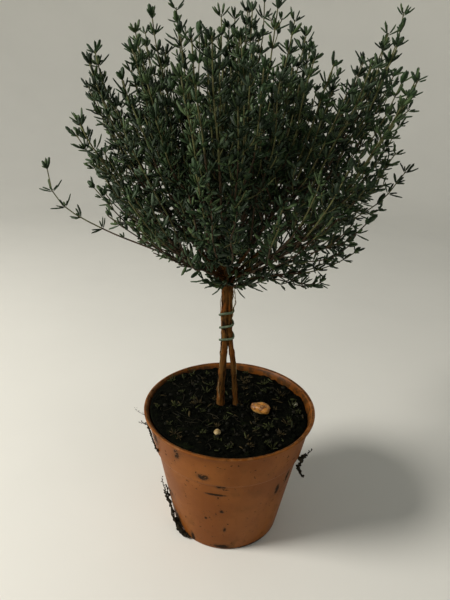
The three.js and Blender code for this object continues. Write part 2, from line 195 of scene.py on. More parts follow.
# closed tubes along a batch of paths, with the place of each point on its limb: the cosine and
# sine round it times its radius, and the distance along it
def tubes(paths, radius, across, sides):
    radius = np.broadcast_to(radius, paths.shape[:-1])
    rings = ringsAlong(paths, radius, across, sides)
    points, faces = closedTubes(rings, paths[:, 0], paths[:, -1])
    steps = np.linalg.norm(np.diff(paths, axis=1), axis=-1)
    far = np.concatenate([np.zeros((len(paths), 1)), np.cumsum(steps, axis=1)], axis=1)
    far = far + patternGap * np.arange(len(paths))[:, None]
    around = [radius[..., None] * part for part in circle(sides)]
    limb = pointsOf(*around, np.broadcast_to(far[..., None], around[0].shape))
    ends = np.zeros((len(paths), 2, 3))
    ends[:, 0, 2], ends[:, 1, 2] = far[:, 0], far[:, -1]
    limb = np.concatenate([limb.reshape(len(paths), -1, 3), ends], axis=1).reshape(-1, 3)
    return points, faces, limb


# the rings of a profile of (radius, height) turned about the axis
def turned(profile, sides):
    c, s = circle(sides)
    radius, height = np.array(profile, float).T[:, :, None]
    return pointsOf(radius * c, radius * s, height + 0 * c)


# a surface of revolution from a profile that starts and ends on the axis
def lathe(profile, sides):
    foot, tip = (np.array([[0, 0, profile[end][1]]], float) for end in (0, -1))
    points, (quads, caps) = closedTubes(turned(profile[1:-1], sides)[None], foot, tip)
    return points, [quads[:, ::-1], caps[:, ::-1]]


# points of a rounded corner: a curve from start to end that sets off towards the corner
def rounded(start, corner, end, steps=5):
    t = np.linspace(0, 1, steps)[:, None]
    start, corner, end = (np.array(point, float) for point in (start, corner, end))
    return ((1 - t) ** 2 * start + 2 * t * (1 - t) * corner + t**2 * end).tolist()


# a batch of uneven balls: unit spheres swollen by noise, stretched to size, turned and moved
def balls(centres, sizes, turns, rows, sides, seed, unevenness):
    polar = np.linspace(0, np.pi, rows + 2)[:, None, None]
    c, s = circle(sides)
    level = pointsOf(c, -s, 0 * c)
    sphere = np.sin(polar) * level - np.cos(polar) * upwards
    sphere = np.broadcast_to(sphere, (len(centres), *sphere.shape))
    apart = np.arange(len(centres))[:, None, None, None] * np.array([7.3, 3.1, 5.7])
    swell = 1 + unevenness * rough(sphere + apart, 0.9, seed)
    shape = sphere * swell[..., None] * sizes[:, None, None, :]
    c, s = np.cos(turns)[:, None, None], np.sin(turns)[:, None, None]
    x, y, z = shape[..., 0], shape[..., 1], shape[..., 2]
    shape = pointsOf(c * x - s * y, s * x + c * y, z) + centres[:, None, None, :]
    return closedTubes(shape[:, 1:-1], shape[:, 0, 0], shape[:, -1, 0])


# joins batches of (points, faces) into one, faces of like size together
def joined(batches):
    starts = np.cumsum([0] + [len(points) for points, _ in batches[:-1]])
    points = np.concatenate([points for points, _ in batches])
    kinds = zip(*(faces for _, faces in batches))
    shifted = ([part + start for part, start in zip(parts, starts)] for parts in kinds)
    return points, [np.concatenate(parts) for parts in shifted]


# a number for each face of a batch of like solids, from one number for each solid
def perSolid(numbers, faces):
    return [np.repeat(numbers, len(part) // len(numbers)) for part in faces]


# a mesh from points in mm and lists of faces, all smooth; slots gives each face its finish's
# number, and limb is each point's place on its limb
def makePiece(name, points, faces, finishes, slots=None, limb=None):
    corners = np.concatenate([part.ravel() for part in faces]).astype(np.int32)
    sizes = np.concatenate([np.full(len(part), part.shape[1]) for part in faces])
    mesh = bpy.data.meshes.new(name)
    mesh.vertices.add(len(points))
    mesh.vertices.foreach_set("co", (np.asarray(points) * mm).astype(np.float32).ravel())
    mesh.loops.add(len(corners))
    mesh.loops.foreach_set("vertex_index", corners)
    mesh.polygons.add(len(sizes))
    mesh.polygons.foreach_set("loop_start", np.cumsum(np.r_[0, sizes[:-1]]).astype(np.int32))
    mesh.polygons.foreach_set("use_smooth", np.ones(len(sizes), bool))
    if slots is not None:
        mesh.polygons.foreach_set("material_index", np.concatenate(slots).astype(np.int32))
    if limb is not None:
        layer = mesh.attributes.new("limbPlace", "FLOAT_VECTOR", "POINT")
        layer.data.foreach_set("vector", (limb * mm).astype(np.float32).ravel())
    mesh.update(calc_edges=True)
    for finish in finishes:
        mesh.materials.append(finish)
    piece = bpy.data.objects.new(name, mesh)
    bpy.context.scene.collection.objects.link(piece)
    return piece


# gives a piece its body and hides the imported nodes that it stands for
def place(piece, slot, *nodes):
    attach(piece, "root")
    if nodes:
        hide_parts(*nodes)
    return piece


# a colour's 0 to 255 screen values as the linear colour that a shader takes
def tone(red, green, blue):
    share = np.array([red, green, blue]) / 255
    linear = np.where(share <= 0.04045, share / 12.92, ((share + 0.055) / 1.055) ** 2.4)
    return (*linear.tolist(), 1.0)


# an output socket on which plain sums are written: each adds a Math node to the finish
class Link:
    def __init__(self, finish, socket):
        self.finish = finish
        self.socket = socket

    def __add__(self, other):
        return self.finish.maths("ADD", self, other)

    def __radd__(self, other):
        return self.finish.maths("ADD", other, self)

    def __sub__(self, other):
        return self.finish.maths("SUBTRACT", self, other)

    def __rsub__(self, other):
        return self.finish.maths("SUBTRACT", other, self)

    def __mul__(self, other):
        return self.finish.maths("MULTIPLY", self, other)

    def __rmul__(self, other):
        return self.finish.maths("MULTIPLY", other, self)


# one material: its Principled shader and the nodes that feed it
class Finish:
    def __init__(self, name, **constants):
        self.material = bpy.data.materials.new(name)
        self.material.use_nodes = True
        self.tree = self.material.node_tree
        self.shader = self.tree.nodes["Principled BSDF"]
        self.feed({socket.replace("_", " "): value for socket, value in constants.items()})

    # links a socket, or sets its value
    def put(self, socket, value):
        if isinstance(value, Link):
            self.tree.links.new(value.socket, socket)
        else:
            socket.default_value = value

    # the same for sockets of the shader
    def feed(self, sockets):
        for socket, value in sockets.items():
            self.put(self.shader.inputs[socket], value)

    # any node from its type, its settings, the values or links of its sockets, and an output
    def node(self, kind, settings, sockets, output=0):
        made = self.tree.nodes.new(kind)
        for key, value in settings.items():
            setattr(made, key, value)
        for socket, value in sockets.items():
            self.put(made.inputs[socket], value)
        return Link(self, made.outputs[output])

    # a sum of two numbers
    def maths(self, operation, one, other):
        return self.node("ShaderNodeMath", {"operation": operation}, {0: one, 1: other})

    # a sum of two vectors, or of one
    def vectors(self, operation, parts, output="Vector"):
        sockets = dict(enumerate(parts))
        return self.node("ShaderNodeVectorMath", {"operation": operation}, sockets, output)

    # where a point is on the piece, each axis stretched
    def spot(self, stretch=(1, 1, 1)):
        where = self.node("ShaderNodeTexCoord", {}, {}, "Object")
        return self.vectors("MULTIPLY", (where, stretch))

    # the same, read along and round a limb
    def limbSpot(self, stretch=(1, 1, 1)):
        where = self.node("ShaderNodeAttribute", {"attribute_name": "limbPlace"}, {}, "Vector")
        return self.vectors("MULTIPLY", (where, stretch))

    # a point's height
    def heightOf(self, where):
        return self.node("ShaderNodeSeparateXYZ", {}, {0: where}, 2)

    # noise from about 0 to 1 whose blotches are that many mm wide
    def blotches(self, where, size, detail=3.0, roughness=0.55):
        sockets = {"Vector": where, "Scale": 1 / (size * mm), "Detail": detail}
        return self.node("ShaderNodeTexNoise", {}, {**sockets, "Roughness": roughness})

    # 0 below low, 1 above high
    def edge(self, value, low, high):
        sockets = {"Value": value, "From Min": low, "From Max": high}
        return self.node("ShaderNodeMapRange", {"interpolation_type": "SMOOTHSTEP"}, sockets)

    # the same for a length in mm
    def past(self, value, low, high):
        return self.edge(value, low * mm, high * mm)

    # patches with soft edges: that noise, 0 below low and 1 above high
    def patches(self, where, size, low, high, detail=4.0, roughness=0.6):
        return self.edge(self.blotches(where, size, detail, roughness), low, high)

    # one colour where the share is 0, the other where it is 1
    def blend(self, one, other, share):
        return self.node("ShaderNodeMix", {"data_type": "RGBA"}, {0: share, 6: one, 7: other}, 2)

    # the first of the colours with others laid over it in turn, each by its share
    def layered(self, colours, first, *layers):
        colour = colours[first]
        for name, share in layers:
            colour = self.blend(colour, colours[name], share)
        return colour

    # the material with its colour, its roughness and a bump of that depth in mm
    def done(self, colour, roughness, height, depth):
        sockets = {"Height": height, "Distance": depth * mm, "Strength": 1.0}
        bump = self.node("ShaderNodeBump", {}, sockets)
        self.feed({"Base Color": colour, "Roughness": roughness, "Normal": bump})
        return self.material


# a plain finish that only drifts between two tones, rougher where it is paler
def driftFinish(name, one, other, size, roughness, depth=0.1):
    finish = Finish(name, Specular_IOR_Level=0.2)
    cloud = finish.blotches(finish.spot(), size, 4, 0.6)
    colour = finish.blend(one, other, finish.edge(cloud, 0.35, 0.65))
    return finish.done(colour, roughness + 0.15 * cloud, cloud, depth)


pot = {
    "height": 84,
    "footRadius": 34,
    "bodyTopRadius": 49.6,  # the tapered wall, carried up to the rim
    "wall": 1.2,
    "floor": 2,
    "collarFoot": 60,
    "collarProud": 1.4,
    "lipProud": 1.5,
    "lipHeight": 1.6,
    "lipWidth": 1.7,
    "holes": 6,
    "holeRadius": 3.5,
    "holeRing": 23,
    "holeSides": 32,
    "sides": 160,
    "sharp": 40,  # degrees past which an edge stays sharp
}
potColours = {
    "clay": tone(112, 61, 14),
    "faded": tone(128, 75, 27),
    "rubbed": tone(132, 88, 50),
    "dirt": tone(24, 20, 12),
    "stain": tone(48, 32, 13),
    "silt": tone(70, 48, 22),
}
# smears of dried compost on the wall: turn round the pot from +X in degrees, height, half-width,
# half-height, and how much of the smear is covered
smears = [
    (-107, 66, 4.2, 2.6, 0.7),
    (-95, 59, 3.6, 2.4, 0.6),
    (-99, 51.5, 6.5, 1.0, 0.85),
    (-94, 37, 1.6, 1.5, 0.8),
    (-108, 28.5, 1.1, 1.3, 0.7),
    (-91, 20, 1.2, 3.4, 0.5),
    (-125, 4, 1.6, 5.0, 0.8),
    (-93, 3, 5.5, 2.4, 0.7),
    (-46, 46, 2.0, 5.0, 0.8),
    (-35, 51, 2.0, 6.0, 0.8),
    (-20, 54, 3.0, 6.0, 0.7),
    (-60, 1, 14.0, 1.4, 0.7),
    (-126, 77, 2.6, 5.5, 0.45),
    (-150, 76, 5.0, 8.0, 0.5),
    (-152, 30, 7.0, 4.0, 0.4),
    (-150, 8, 6.0, 9.0, 0.8),
    (35, 40, 8.0, 5.0, 0.5),
    (95, 24, 9.0, 6.0, 0.35),
    (140, 64, 5.0, 4.0, 0.5),
    (200, 22, 4.0, 7.0, 0.6),
]


# the tapered wall's outer radius at a height, in a straight line from foot to top
def wallAt(z):
    return between(pot["footRadius"], pot["bodyTopRadius"], z / pot["height"])


# the same with the collar, which stands proud from its foot upwards
def outsideAt(z):
    return wallAt(z) + pot["collarProud"] * (z > pot["collarFoot"])


# the wall's inside, which widens into the collar as the outside does
def innerAt(z):
    foot = pot["collarFoot"] + pot["wall"]
    return wallAt(z) - pot["wall"] + pot["collarProud"] * np.clip((z - foot) / 0.5, 0, 1)


# the profile goes out along the foot, up the wall and collar, over the rim and down inside
def potProfile():
    step, top, lip = pot["collarFoot"], pot["height"], pot["height"] - pot["lipHeight"]
    collar = pot["collarProud"]
    rim = wallAt(top) + collar + pot["lipProud"]
    inner = rim - pot["lipWidth"]
    foot, base = pot["footRadius"], pot["floor"]
    under, over, atLip = wallAt(step), wallAt(step + 1.2) + collar, wallAt(lip) + collar
    profile = [[0, 0], [10, 0], [18, 0], [26, 0], [foot - 1.6, 0]]
    profile += rounded([foot - 1.2, 0], [foot, 0], [wallAt(1.4), 1.4])
    profile += [[wallAt(z), z] for z in np.linspace(1.6, step - 1.2, 22)]
    profile += rounded([wallAt(step - 0.8), step - 0.8], [under, step - 0.1], [under + 0.7, step])
    profile += rounded([under + 0.9, step + 0.1], [under + collar, step + 0.2], [over, step + 1.2])
    profile += [[wallAt(z) + collar, z] for z in np.linspace(step + 2.5, lip - 0.6, 9)]
    profile += rounded([atLip, lip - 0.2], [atLip + 0.2, lip], [rim - 0.5, lip + 0.1], 4)
    profile += rounded([rim - 0.3, lip + 0.15], [rim, lip + 0.2], [rim, lip + 0.7], 3)
    profile += rounded([rim, top - 0.6], [rim, top], [rim - 0.6, top], 5)
    profile += rounded([inner + 0.5, top], [inner, top], [inner - 0.3, top - 0.5], 5)
    insides = [np.linspace(lip, step + 2.2, 9), step + np.array([1.75, 1.6, 1.3, 1.15])]
    insides += [np.linspace(step - 1, base + 2.5, 12)]
    profile += [[innerAt(z), z] for z in np.concatenate(insides)]
    corner = innerAt(base)
    profile += rounded([innerAt(base + 1.6), base + 1.6], [corner, base], [corner - 1.6, base], 4)
    return profile + [[24, base], [14, base], [0, base]]


# cuts one closed piece out of another and keeps the result as its mesh
def cutOut(piece, tool):
    cut = piece.modifiers.new("cut", "BOOLEAN")
    cut.object = tool
    cut.solver = "EXACT"
    result = piece.evaluated_get(bpy.context.evaluated_depsgraph_get())
    piece.data = bpy.data.meshes.new_from_object(result)
    piece.modifiers.clear()
    bpy.data.objects.remove(tool)


# how soiled each place is: 1 in splashes on the wall's inside and on the rim's top, both told
# from the outside by how far out a point is from a cone as steep as the wall
def soiledShare(finish, spot, height):
    slope = (pot["bodyTopRadius"] - pot["footRadius"]) / pot["height"]
    flat = finish.vectors("MULTIPLY", (spot, (1, 1, 0)))
    out = finish.vectors("LENGTH", (flat,), "Value") - slope * height
    foot = pot["footRadius"]
    within = (1 - finish.past(out, foot + 0.4, foot + 1.1)) * finish.past(height, 62, 66)
    onRim = (1 - finish.past(out, foot + 1.5, foot + 2.6)) * finish.past(height, 83.5, 83.9)
    splashed = 0.4 + 0.6 * finish.patches(spot, 4, 0.42, 0.56)
    return finish.maths("MAXIMUM", within, onRim) * splashed


# the dirt and the stain of the smears, added to what is there: each is an oval that fades at its
# edge, dirt cakes in it where a fine noise is high, and a stain soaks in round the dirt
def smeared(finish, spot, dirt, stained):
    patchy = finish.blotches(spot, 2.2, 5, 0.7)
    soaked = finish.edge(patchy, 0.22, 0.48)
    for turn, z, wide, tall, cover in smears:
        angle = math.radians(turn)
        radius = outsideAt(z)
        middle = [radius * math.cos(angle) * mm, radius * math.sin(angle) * mm, z * mm]
        away = finish.vectors("SUBTRACT", (spot, middle))
        away = finish.vectors("MULTIPLY", (away, [1 / (half * mm) for half in (wide, wide, tall)]))
        near = 1 - finish.edge(finish.vectors("LENGTH", (away,), "Value"), 0.35, 1.45)
        caked = finish.edge(patchy + 0.3 * near, 0.9 - 0.3 * cover, 0.95 - 0.3 * cover)
        dirt = finish.maths("MAXIMUM", dirt, near * caked)
        stained = stained + cover * near * soaked
    return dirt, stained


# clay-coloured plastic that drifts to a faded tone and is rubbed pale at the rim; over it a film
# of silt, thickest low down, then the stain of the smears and the soiled inside, then dirt
def potFinish():
    finish = Finish("terracottaPlastic", IOR=1.46, Specular_IOR_Level=0.12)
    spot = finish.spot()
    height = finish.heightOf(spot)
    cloudy = finish.blotches(spot, 34, 4)
    flow = finish.blotches(finish.spot((1, 1, 0.16)), 5)
    atRim = finish.past(height, pot["height"] - 1.5, pot["height"])
    low = 1 - finish.past(height, 2, 26)
    film = 0.25 + 0.45 * low + finish.past(height, 74, 83) * 0.3
    film = finish.patches(spot, 9, 0.5, 0.74, 5) * film
    dirt = 0.8 * finish.patches(spot, 2.3, 0.66, 0.73, 2, 0.5)
    dirt, stained = smeared(finish, spot, dirt, 0.0)
    colour = finish.layered(
        potColours,
        "clay",
        ("faded", finish.edge(cloudy, 0.4, 0.66)),
        ("clay", 0.5 * finish.edge(flow, 0.5, 0.72)),
        ("rubbed", 0.75 * atRim * finish.patches(spot, 3.5, 0.44, 0.62, 4, 0.65)),
        ("silt", film),
        ("stain", 0.95 * stained),
        ("stain", 0.85 * soiledShare(finish, spot, height)),
        ("dirt", 0.85 * dirt),
    )
    roughness = 0.36 + 0.16 * cloudy + 0.25 * film + 0.35 * dirt
    grain = finish.blotches(spot, 0.7)
    return finish.done(colour, roughness, 0.25 * grain + 0.25 * flow + 1.2 * dirt, 0.12)


# the pot is its profile turned about the axis, drilled through the foot by a ring of rods
def makePot():
    piece = makePiece("nursery_pot", *lathe(potProfile(), pot["sides"]), [potFinish()])
    turns = (np.arange(pot["holes"]) + 0.5) * 2 * np.pi / pot["holes"]
    centres = pot["holeRing"] * pointsOf(np.cos(turns), np.sin(turns), 0 * turns)
    through = 3 * pot["floor"]
    paths = centres[:, None] + np.linspace(-through, through, 3)[:, None] * upwards
    points, faces, _ = tubes(paths, pot["holeRadius"], sideways, pot["holeSides"])
    cutOut(piece, makePiece("drills", points, faces, []))
    piece.data.polygons.foreach_set("use_smooth", np.ones(len(piece.data.polygons), bool))
    piece.data.set_sharp_from_angle(angle=math.radians(pot["sharp"]))
    place(piece, "terracotta_plastic", "pot")


makePot()
print("pot made")

compost = {
    "level": 81.5,  # the mean height of its top
    "fallRight": 2.5,  # lower by this at the right, as much higher at the left
    "shelf": 80,  # where its side ends and its top begins, before the top has its own height
    "gap": 0.25,  # between it and the pot's wall
    "topRadius": 48,
    "within": 46,  # mm from the middle that what lies on it keeps to
    "sides": 180,
    "rings": 56,
}
crumbs = {
    "count": 620,
    "smallest": 0.35,
    "larger": 1.25,  # mm by which the largest is larger
    "rarity": 2.2,  # the higher, the fewer large ones
    "narrow": 0.6,  # the least width, and the height, over the length
    "brown": 0.3,  # share of them
}
rootlets = {"count": 120, "shortest": 2.5, "longest": 9, "thin": 0.1, "thick": 0.24}
compostColours = {
    "peat": tone(10, 11, 6),
    "dark": tone(3, 4, 2),
    "brown": tone(24, 21, 10),
    "thread": tone(36, 32, 17),
    "moss": tone(22, 29, 11),
}
fallWay = unit(np.array([1.0, 0.25, 0.0]))
stemFeet = [(-5.3, 2.5), (4.0, 4.0)]  # where the stems come out of it


# the height of the compost's top: a slope, mounds, crumb-sized lumps, and a collar at each stem
def compostTop(x, y):
    flat = pointsOf(x, y, 0 * x)
    high = compost["level"] - compost["fallRight"] * dot(flat, fallWay)[..., 0] / compost["topRadius"]
    high = high + 0.8 * lumps(flat, 17, 11) + 0.75 * rough(flat, 5, 21)
    high = high + 0.55 * rough(flat, 1.8, 31)
    for footX, footY in stemFeet:
        high = high + 0.5 * np.exp(-((x - footX) ** 2 + (y - footY) ** 2) / 30)
    return np.minimum(high, pot["height"] - 1.0)


# a stack of rings from the middle of the floor out, up the pot's wall and in over the top
def compostSurface():
    gap, shelf, foot = compost["gap"], compost["shelf"], pot["floor"] + 0.3
    side = [[innerAt(z) - gap, z + 0.3] for z in (pot["floor"], 20, 40, 60, 61.3, 61.6, 70, 76)]
    edge = innerAt(shelf) - gap
    top = [[edge * share, shelf] for share in np.linspace(1, 0.012, compost["rings"])]
    points, faces = lathe([[0, foot], [16, foot], *side, *top, [0, shelf]], compost["sides"])
    onTop = points[:, 2] > shelf - 1
    x, y = points[onTop, 0], points[onTop, 1]
    z = compostTop(x, y)
    inward = np.minimum(1, (innerAt(z) - gap) / np.maximum(np.hypot(x, y), 1e-6))
    points[onTop] = pointsOf(x * inward, y * inward, z)
    return points, faces


# dark peat with brown flecks, and moss where both a broad and a fine noise are high
def compostFinish():
    finish = Finish("dampCompost", IOR=1.4, Specular_IOR_Level=0.04)
    spot = finish.spot()
    lumpy = finish.blotches(spot, 2.4, 6, 0.7)
    mossy = finish.patches(spot, 11, 0.52, 0.66)
    colour = finish.layered(
        compostColours,
        "dark",
        ("peat", finish.edge(lumpy, 0.38, 0.6)),
        ("brown", 0.6 * finish.patches(spot, 1.2, 0.62, 0.7)),
        ("moss", 0.5 * mossy * finish.edge(lumpy, 0.45, 0.62)),
    )
    return finish.done(colour, 0.72 + 0.25 * lumpy, lumpy, 0.9)


# places strewn over the compost: a spiral of even spacing, each place swayed
def strewn(count, seed, reach=45.5):
    i = np.arange(count)
    radius = reach * np.sqrt((i + 0.5) / count) + 2.2 * sway(seed, i, 1)
    radius = np.clip(radius, 1, reach)
    angle = i * goldenTurn + 0.5 * sway(seed, i, 2)
    x, y = radius * np.cos(angle), radius * np.sin(angle)
    return i, x, y


# the body of compost, and on it crumbs of many sizes, most of them small
def makeCompost():
    soilFinish = compostFinish()
    place(makePiece("compost", *compostSurface(), [soilFinish]), "compost", "soil")
    i, x, y = strewn(crumbs["count"], 41)
    narrow = crumbs["narrow"]
    size = crumbs["smallest"] + crumbs["larger"] * chance(42, i) ** crumbs["rarity"]
    shape = pointsOf(1 + 0 * size, between(narrow, 1, chance(43, i)), narrow + 0 * size)
    sizes = size[:, None] * shape
    centres = pointsOf(x, y, compostTop(x, y) + 0.25 * size)
    points, faces = balls(centres, sizes, anyTurn(44, i), 4, 7, 45, 0.35)
    colours = compostColours["peat"], compostColours["brown"]
    brown = driftFinish("compostCrumb", *colours, 3, 0.8, 0.2)
    slots = perSolid(chance(46, i) > 1 - crumbs["brown"], faces)
    place(makePiece("compost_crumbs", points, faces, [soilFinish, brown], slots), "compost")


# fine roots that lie on the compost: each is a bow, thin at its ends, with one end lifted
def makeRootlets():
    i, x, y = strewn(rootlets["count"], 51, 44)
    turn = anyTurn(52, i)
    long = between(rootlets["shortest"], rootlets["longest"], chance(53, i) ** 1.6)
    t = np.linspace(-0.5, 0.5, 6)
    bend = sway(54, i) * long * 0.35
    ahead, aside = long[:, None] * t, bend[:, None] * (4 * t**2 - 1)
    c, s = np.cos(turn)[:, None], np.sin(turn)[:, None]
    x, y = x[:, None] + ahead * c - aside * s, y[:, None] + ahead * s + aside * c
    inward = np.minimum(1, compost["within"] / np.hypot(x, y))
    x, y = x * inward, y * inward
    lift = 0.25 + 0.9 * chance(55, i)[:, None] * (0.5 + t) ** 2
    paths = pointsOf(x, y, compostTop(x, y) + lift)
    radius = between(rootlets["thin"], rootlets["thick"], chance(56, i))
    radius = radius[:, None] * np.array([0.6, 1, 1, 1, 0.9, 0.5])
    points, faces, _ = tubes(paths, radius, upwards, 5)
    colours = compostColours["thread"], compostColours["brown"]
    finish = driftFinish("rootThread", *colours, 6, 0.75)
    place(makePiece("compost_threads", points, faces, [finish]), "compost")


makeCompost()
makeRootlets()

stones = {
    "amber_stone": {
        "node": "stone_amber",
        "swell": np.array([1.12, 0.84, 1.0]),
        "turn": -0.5,
        "uneven": 0.2,
        "one": tone(170, 112, 40),
        "other": tone(96, 54, 18),
        "spots": tone(190, 150, 84),
    },
    "cream_stone": {
        "node": "stone_cream",
        "swell": np.array([1.0, 1.0, 1.1]),
        "turn": 0.0,
        "uneven": 0.09,
        "one": tone(166, 142, 92),
        "other": tone(130, 104, 60),
        "spots": tone(190, 172, 130),
    },
    "pale_stone": {
        "node": "stone_pale",
        "swell": np.array([1.1, 1.1, 1.1]),
        "turn": 0.0,
        "uneven": 0.09,
        "one": tone(126, 126, 104),
        "other": tone(92, 90, 70),
        "spots": tone(150, 148, 128),
    },
}


# a stone drifts between two colours with spots of a third, is paler near its foot, and is dark
# with compost where it goes in
def stoneFinish(name, stone, foot):
    finish = Finish(name, IOR=1.5)
    spot = finish.spot()
    cloud = finish.blotches(spot, 3.2, 4, 0.6)
    speckled = finish.patches(spot, 1.6, 0.54, 0.64)
    height = finish.heightOf(spot)
    buried = 1 - finish.past(height + 0.5 * mm * cloud, foot + 0.4, foot + 1.3)
    pale = 1 - finish.past(height + 0.8 * mm * cloud, foot + 1.8, foot + 3.2)
    colour = finish.layered(
        {**compostColours, **stone},
        "one",
        ("other", finish.edge(cloud, 0.42, 0.56)),
        ("spots", 0.7 * speckled),
        ("spots", 0.7 * pale),
        ("dark", 0.8 * buried),
    )
    roughness = 0.4 + 0.25 * cloud + 0.2 * buried
    return finish.done(colour, roughness, 0.6 * cloud + 0.4 * speckled, 0.25)


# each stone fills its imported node's box, swollen and dented by noise, and goes into the compost
def makeStones():
    for i, (name, stone) in enumerate(stones.items()):
        low, high = (np.array(corner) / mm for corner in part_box(stone["node"]))
        centre, half = (low + high) / 2, (high - low) / 2
        centre[2] += compostTop(*centre[:2]) - low[2] - 0.5
        centre, size = centre[None], half[None] * stone["swell"]
        turn = np.array([stone["turn"]])
        points, faces = balls(centre, size, turn, 20, 28, 60 + i, stone["uneven"])
        finish = stoneFinish(name, stone, centre[0, 2] - size[0, 2])
        place(makePiece(name, points, faces, [finish]), stone["node"], stone["node"])


makeStones()
print("compost and stones made")

stems = [
    {
        "node": "stem_left",
        "stations": [
            [-5.3, 2.5, 0], [-5.7, 2.4, 11], [-5.9, 2.2, 19], [-4.9, 2, 31],
            [-4.8, 2, 46], [-5.4, 2, 66], [-5.2, 2, 91],
        ],
        "footRadius": 1.95,
        "topRadius": 1.65,
        "drawn": 0.3,  # mm towards the other stem, where the wire holds the two together
    },
    {
        "node": "stem_right",
        "stations": [
            [4, 4, 0], [3, 3.7, 12], [1.7, 3, 26], [0.4, 2.3, 38],
            [-1.1, 2, 49], [-1.9, 2, 66], [-1.8, 2, 87],
        ],
        "footRadius": 1.45,
        "topRadius": 1.35,
        "drawn": -0.3,
    },
]
soilTop = 79.5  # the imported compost's top, from which heights on the stems are told
rooted = 2.5  # mm by which the stems go on below it
flare = {"swell": 0.32, "height": 4}
knot = {"swell": 0.12, "spacing": 13}
drawnBetween = (30, 46)  # heights over the soil from which and past which they are drawn
looseBark = 1.1  # by which the flaking bark thickens a stem
barkRelief = {"streak": 0.16, "flake": 0.13, "stations": 220, "sides": 32}
barkColours = {
    "cork": tone(90, 61, 28),
    "rust": tone(99, 56, 20),
    # the grooves' dark colour, which also paints the shade on the boughs
    "grooveAndShade": tone(22, 15, 8),
    "silver": tone(114, 93, 54),
}


# a smooth curve through stations, by height: each span is the cubic that has at its two ends the
# slopes there, a slope being taken across both neighbours; t goes from 0 to 1 over a span
def smoothPath(stations, up):
    points = np.array(stations, float)
    heights = points[:, 2]
    slopes = np.gradient(points, heights, axis=0)
    i = np.clip(np.searchsorted(heights, up, side="right") - 1, 0, len(points) - 2)
    span = (heights[i + 1] - heights[i])[..., None]
    t = ((up - heights[i])[..., None]) / span
    a, b = points[i], points[i + 1]
    leaving, meeting = slopes[i] * span - (b - a), (b - a) - slopes[i + 1] * span
    path = a + (b - a) * t + t * (1 - t) * ((1 - t) * leaving + t * meeting)
    return path + soilTop * upwards


# the line of a stem at heights over the soil, drawn to its neighbour from the wire upwards
def stemPath(stem, up):
    path = smoothPath(stem["stations"], up)
    path[:, 0] += stem["drawn"] * easeIn(*drawnBetween, up)
    return path


# a stem's radius at a height over the soil: an even taper, a flare that fades from the foot, and
# a swelling at each old leaf joint
def stemRadius(stem, up):
    tall = stem["stations"][-1][2]
    taper = between(stem["footRadius"], stem["topRadius"], up / tall)
    joint = knot["swell"] * np.maximum(0, np.cos(2 * np.pi * up / knot["spacing"])) ** 4
    fade = np.exp(-np.maximum(up, 0) / flare["height"])
    return looseBark * taper * (1 + flare["swell"] * fade + joint)


# how far bark stands out at places on limbs, in proportion to the radius: long streaks and small
# flakes
def barkShift(limb, depth, seed):
    around = np.hypot(limb[:, 0], limb[:, 1])
    streak = rough(limb * [1, 1, 0.14], 1.1, seed)
    flake = np.maximum(0, lumps(limb * [1, 1, 0.5], 0.8, seed + 9))
    return depth * around * (barkRelief["streak"] * streak + barkRelief["flake"] * flake)


# tubes whose points are moved out from the path by the bark's relief
def barkedTubes(paths, radius, across, sides, seed, depth=1.0):
    points, faces, limb = tubes(paths, radius, across, sides)
    grouped = points.reshape(len(paths), -1, 3)
    rings = grouped[:, :-2].reshape(*paths.shape[:2], sides, 3)
    outward = np.zeros_like(grouped)
    outward[:, :-2] = unit(rings - paths[:, :, None]).reshape(len(paths), -1, 3)
    shift = barkShift(limb, depth, seed)
    return points + outward.reshape(-1, 3) * shift[:, None], faces, limb


# bark drifts from cork to rust, silvery on the high streaks and dark in the low ones; shade is painted
# shade: how far the grooves' dark colour is spread over the raised bark, so that it all goes dark
def barkFinish(name, shade):
    finish = Finish(name, IOR=1.45, Specular_IOR_Level=0.05)
    streaks = finish.blotches(finish.limbSpot((1, 1, 0.12)), 1.2, 5, 0.65)
    rusty = finish.patches(finish.limbSpot((1, 1, 0.4)), 5, 0.4, 0.62, 3, 0.55)
    layers = ("rust", rusty), ("silver", 0.45 * finish.edge(streaks, 0.58, 0.72))
    colour = finish.layered(barkColours, "cork", *layers)
    # painted shade: with shade above 0, less of the raised bark keeps its colour and the dark groove
    # colour covers more of it
    raisedUnshaded = finish.edge(streaks, 0.36, 0.54) * (1 - shade)
    colour = finish.blend(barkColours["grooveAndShade"], colour, raisedUnshaded)
    return finish.done(colour, 0.72 + 0.2 * streaks, streaks, 0.3)


bark = barkFinish("thymeBark", 0.0)
shadedBark = barkFinish("thymeBarkPaintedShade", 0.55)  # painted shade: the bark of the boughs, darkened because they stand in the crown's shadow

# loose threads of bark: which stem, heights over the soil at the two ends, turn round the stem in
# degrees, and mm by which the middle stands off
barkThreads = [
    (1, 62, 84, -12, 1.7), (1, 70, 86, 14, 1.2), (1, 74, 58, -34, 0.8), (1, 66, 78, -2, 2.4),
    (0, 60, 79, 192, 0.7), (0, 28, 44, 205, 0.5), (1, 24, 38, -25, 0.5), (0, 8, 22, 230, 0.5),
]
threadLook = {"radius": 0.26, "sunk": 0.97, "swing": 0.25, "crooked": 0.4, "stations": 24}


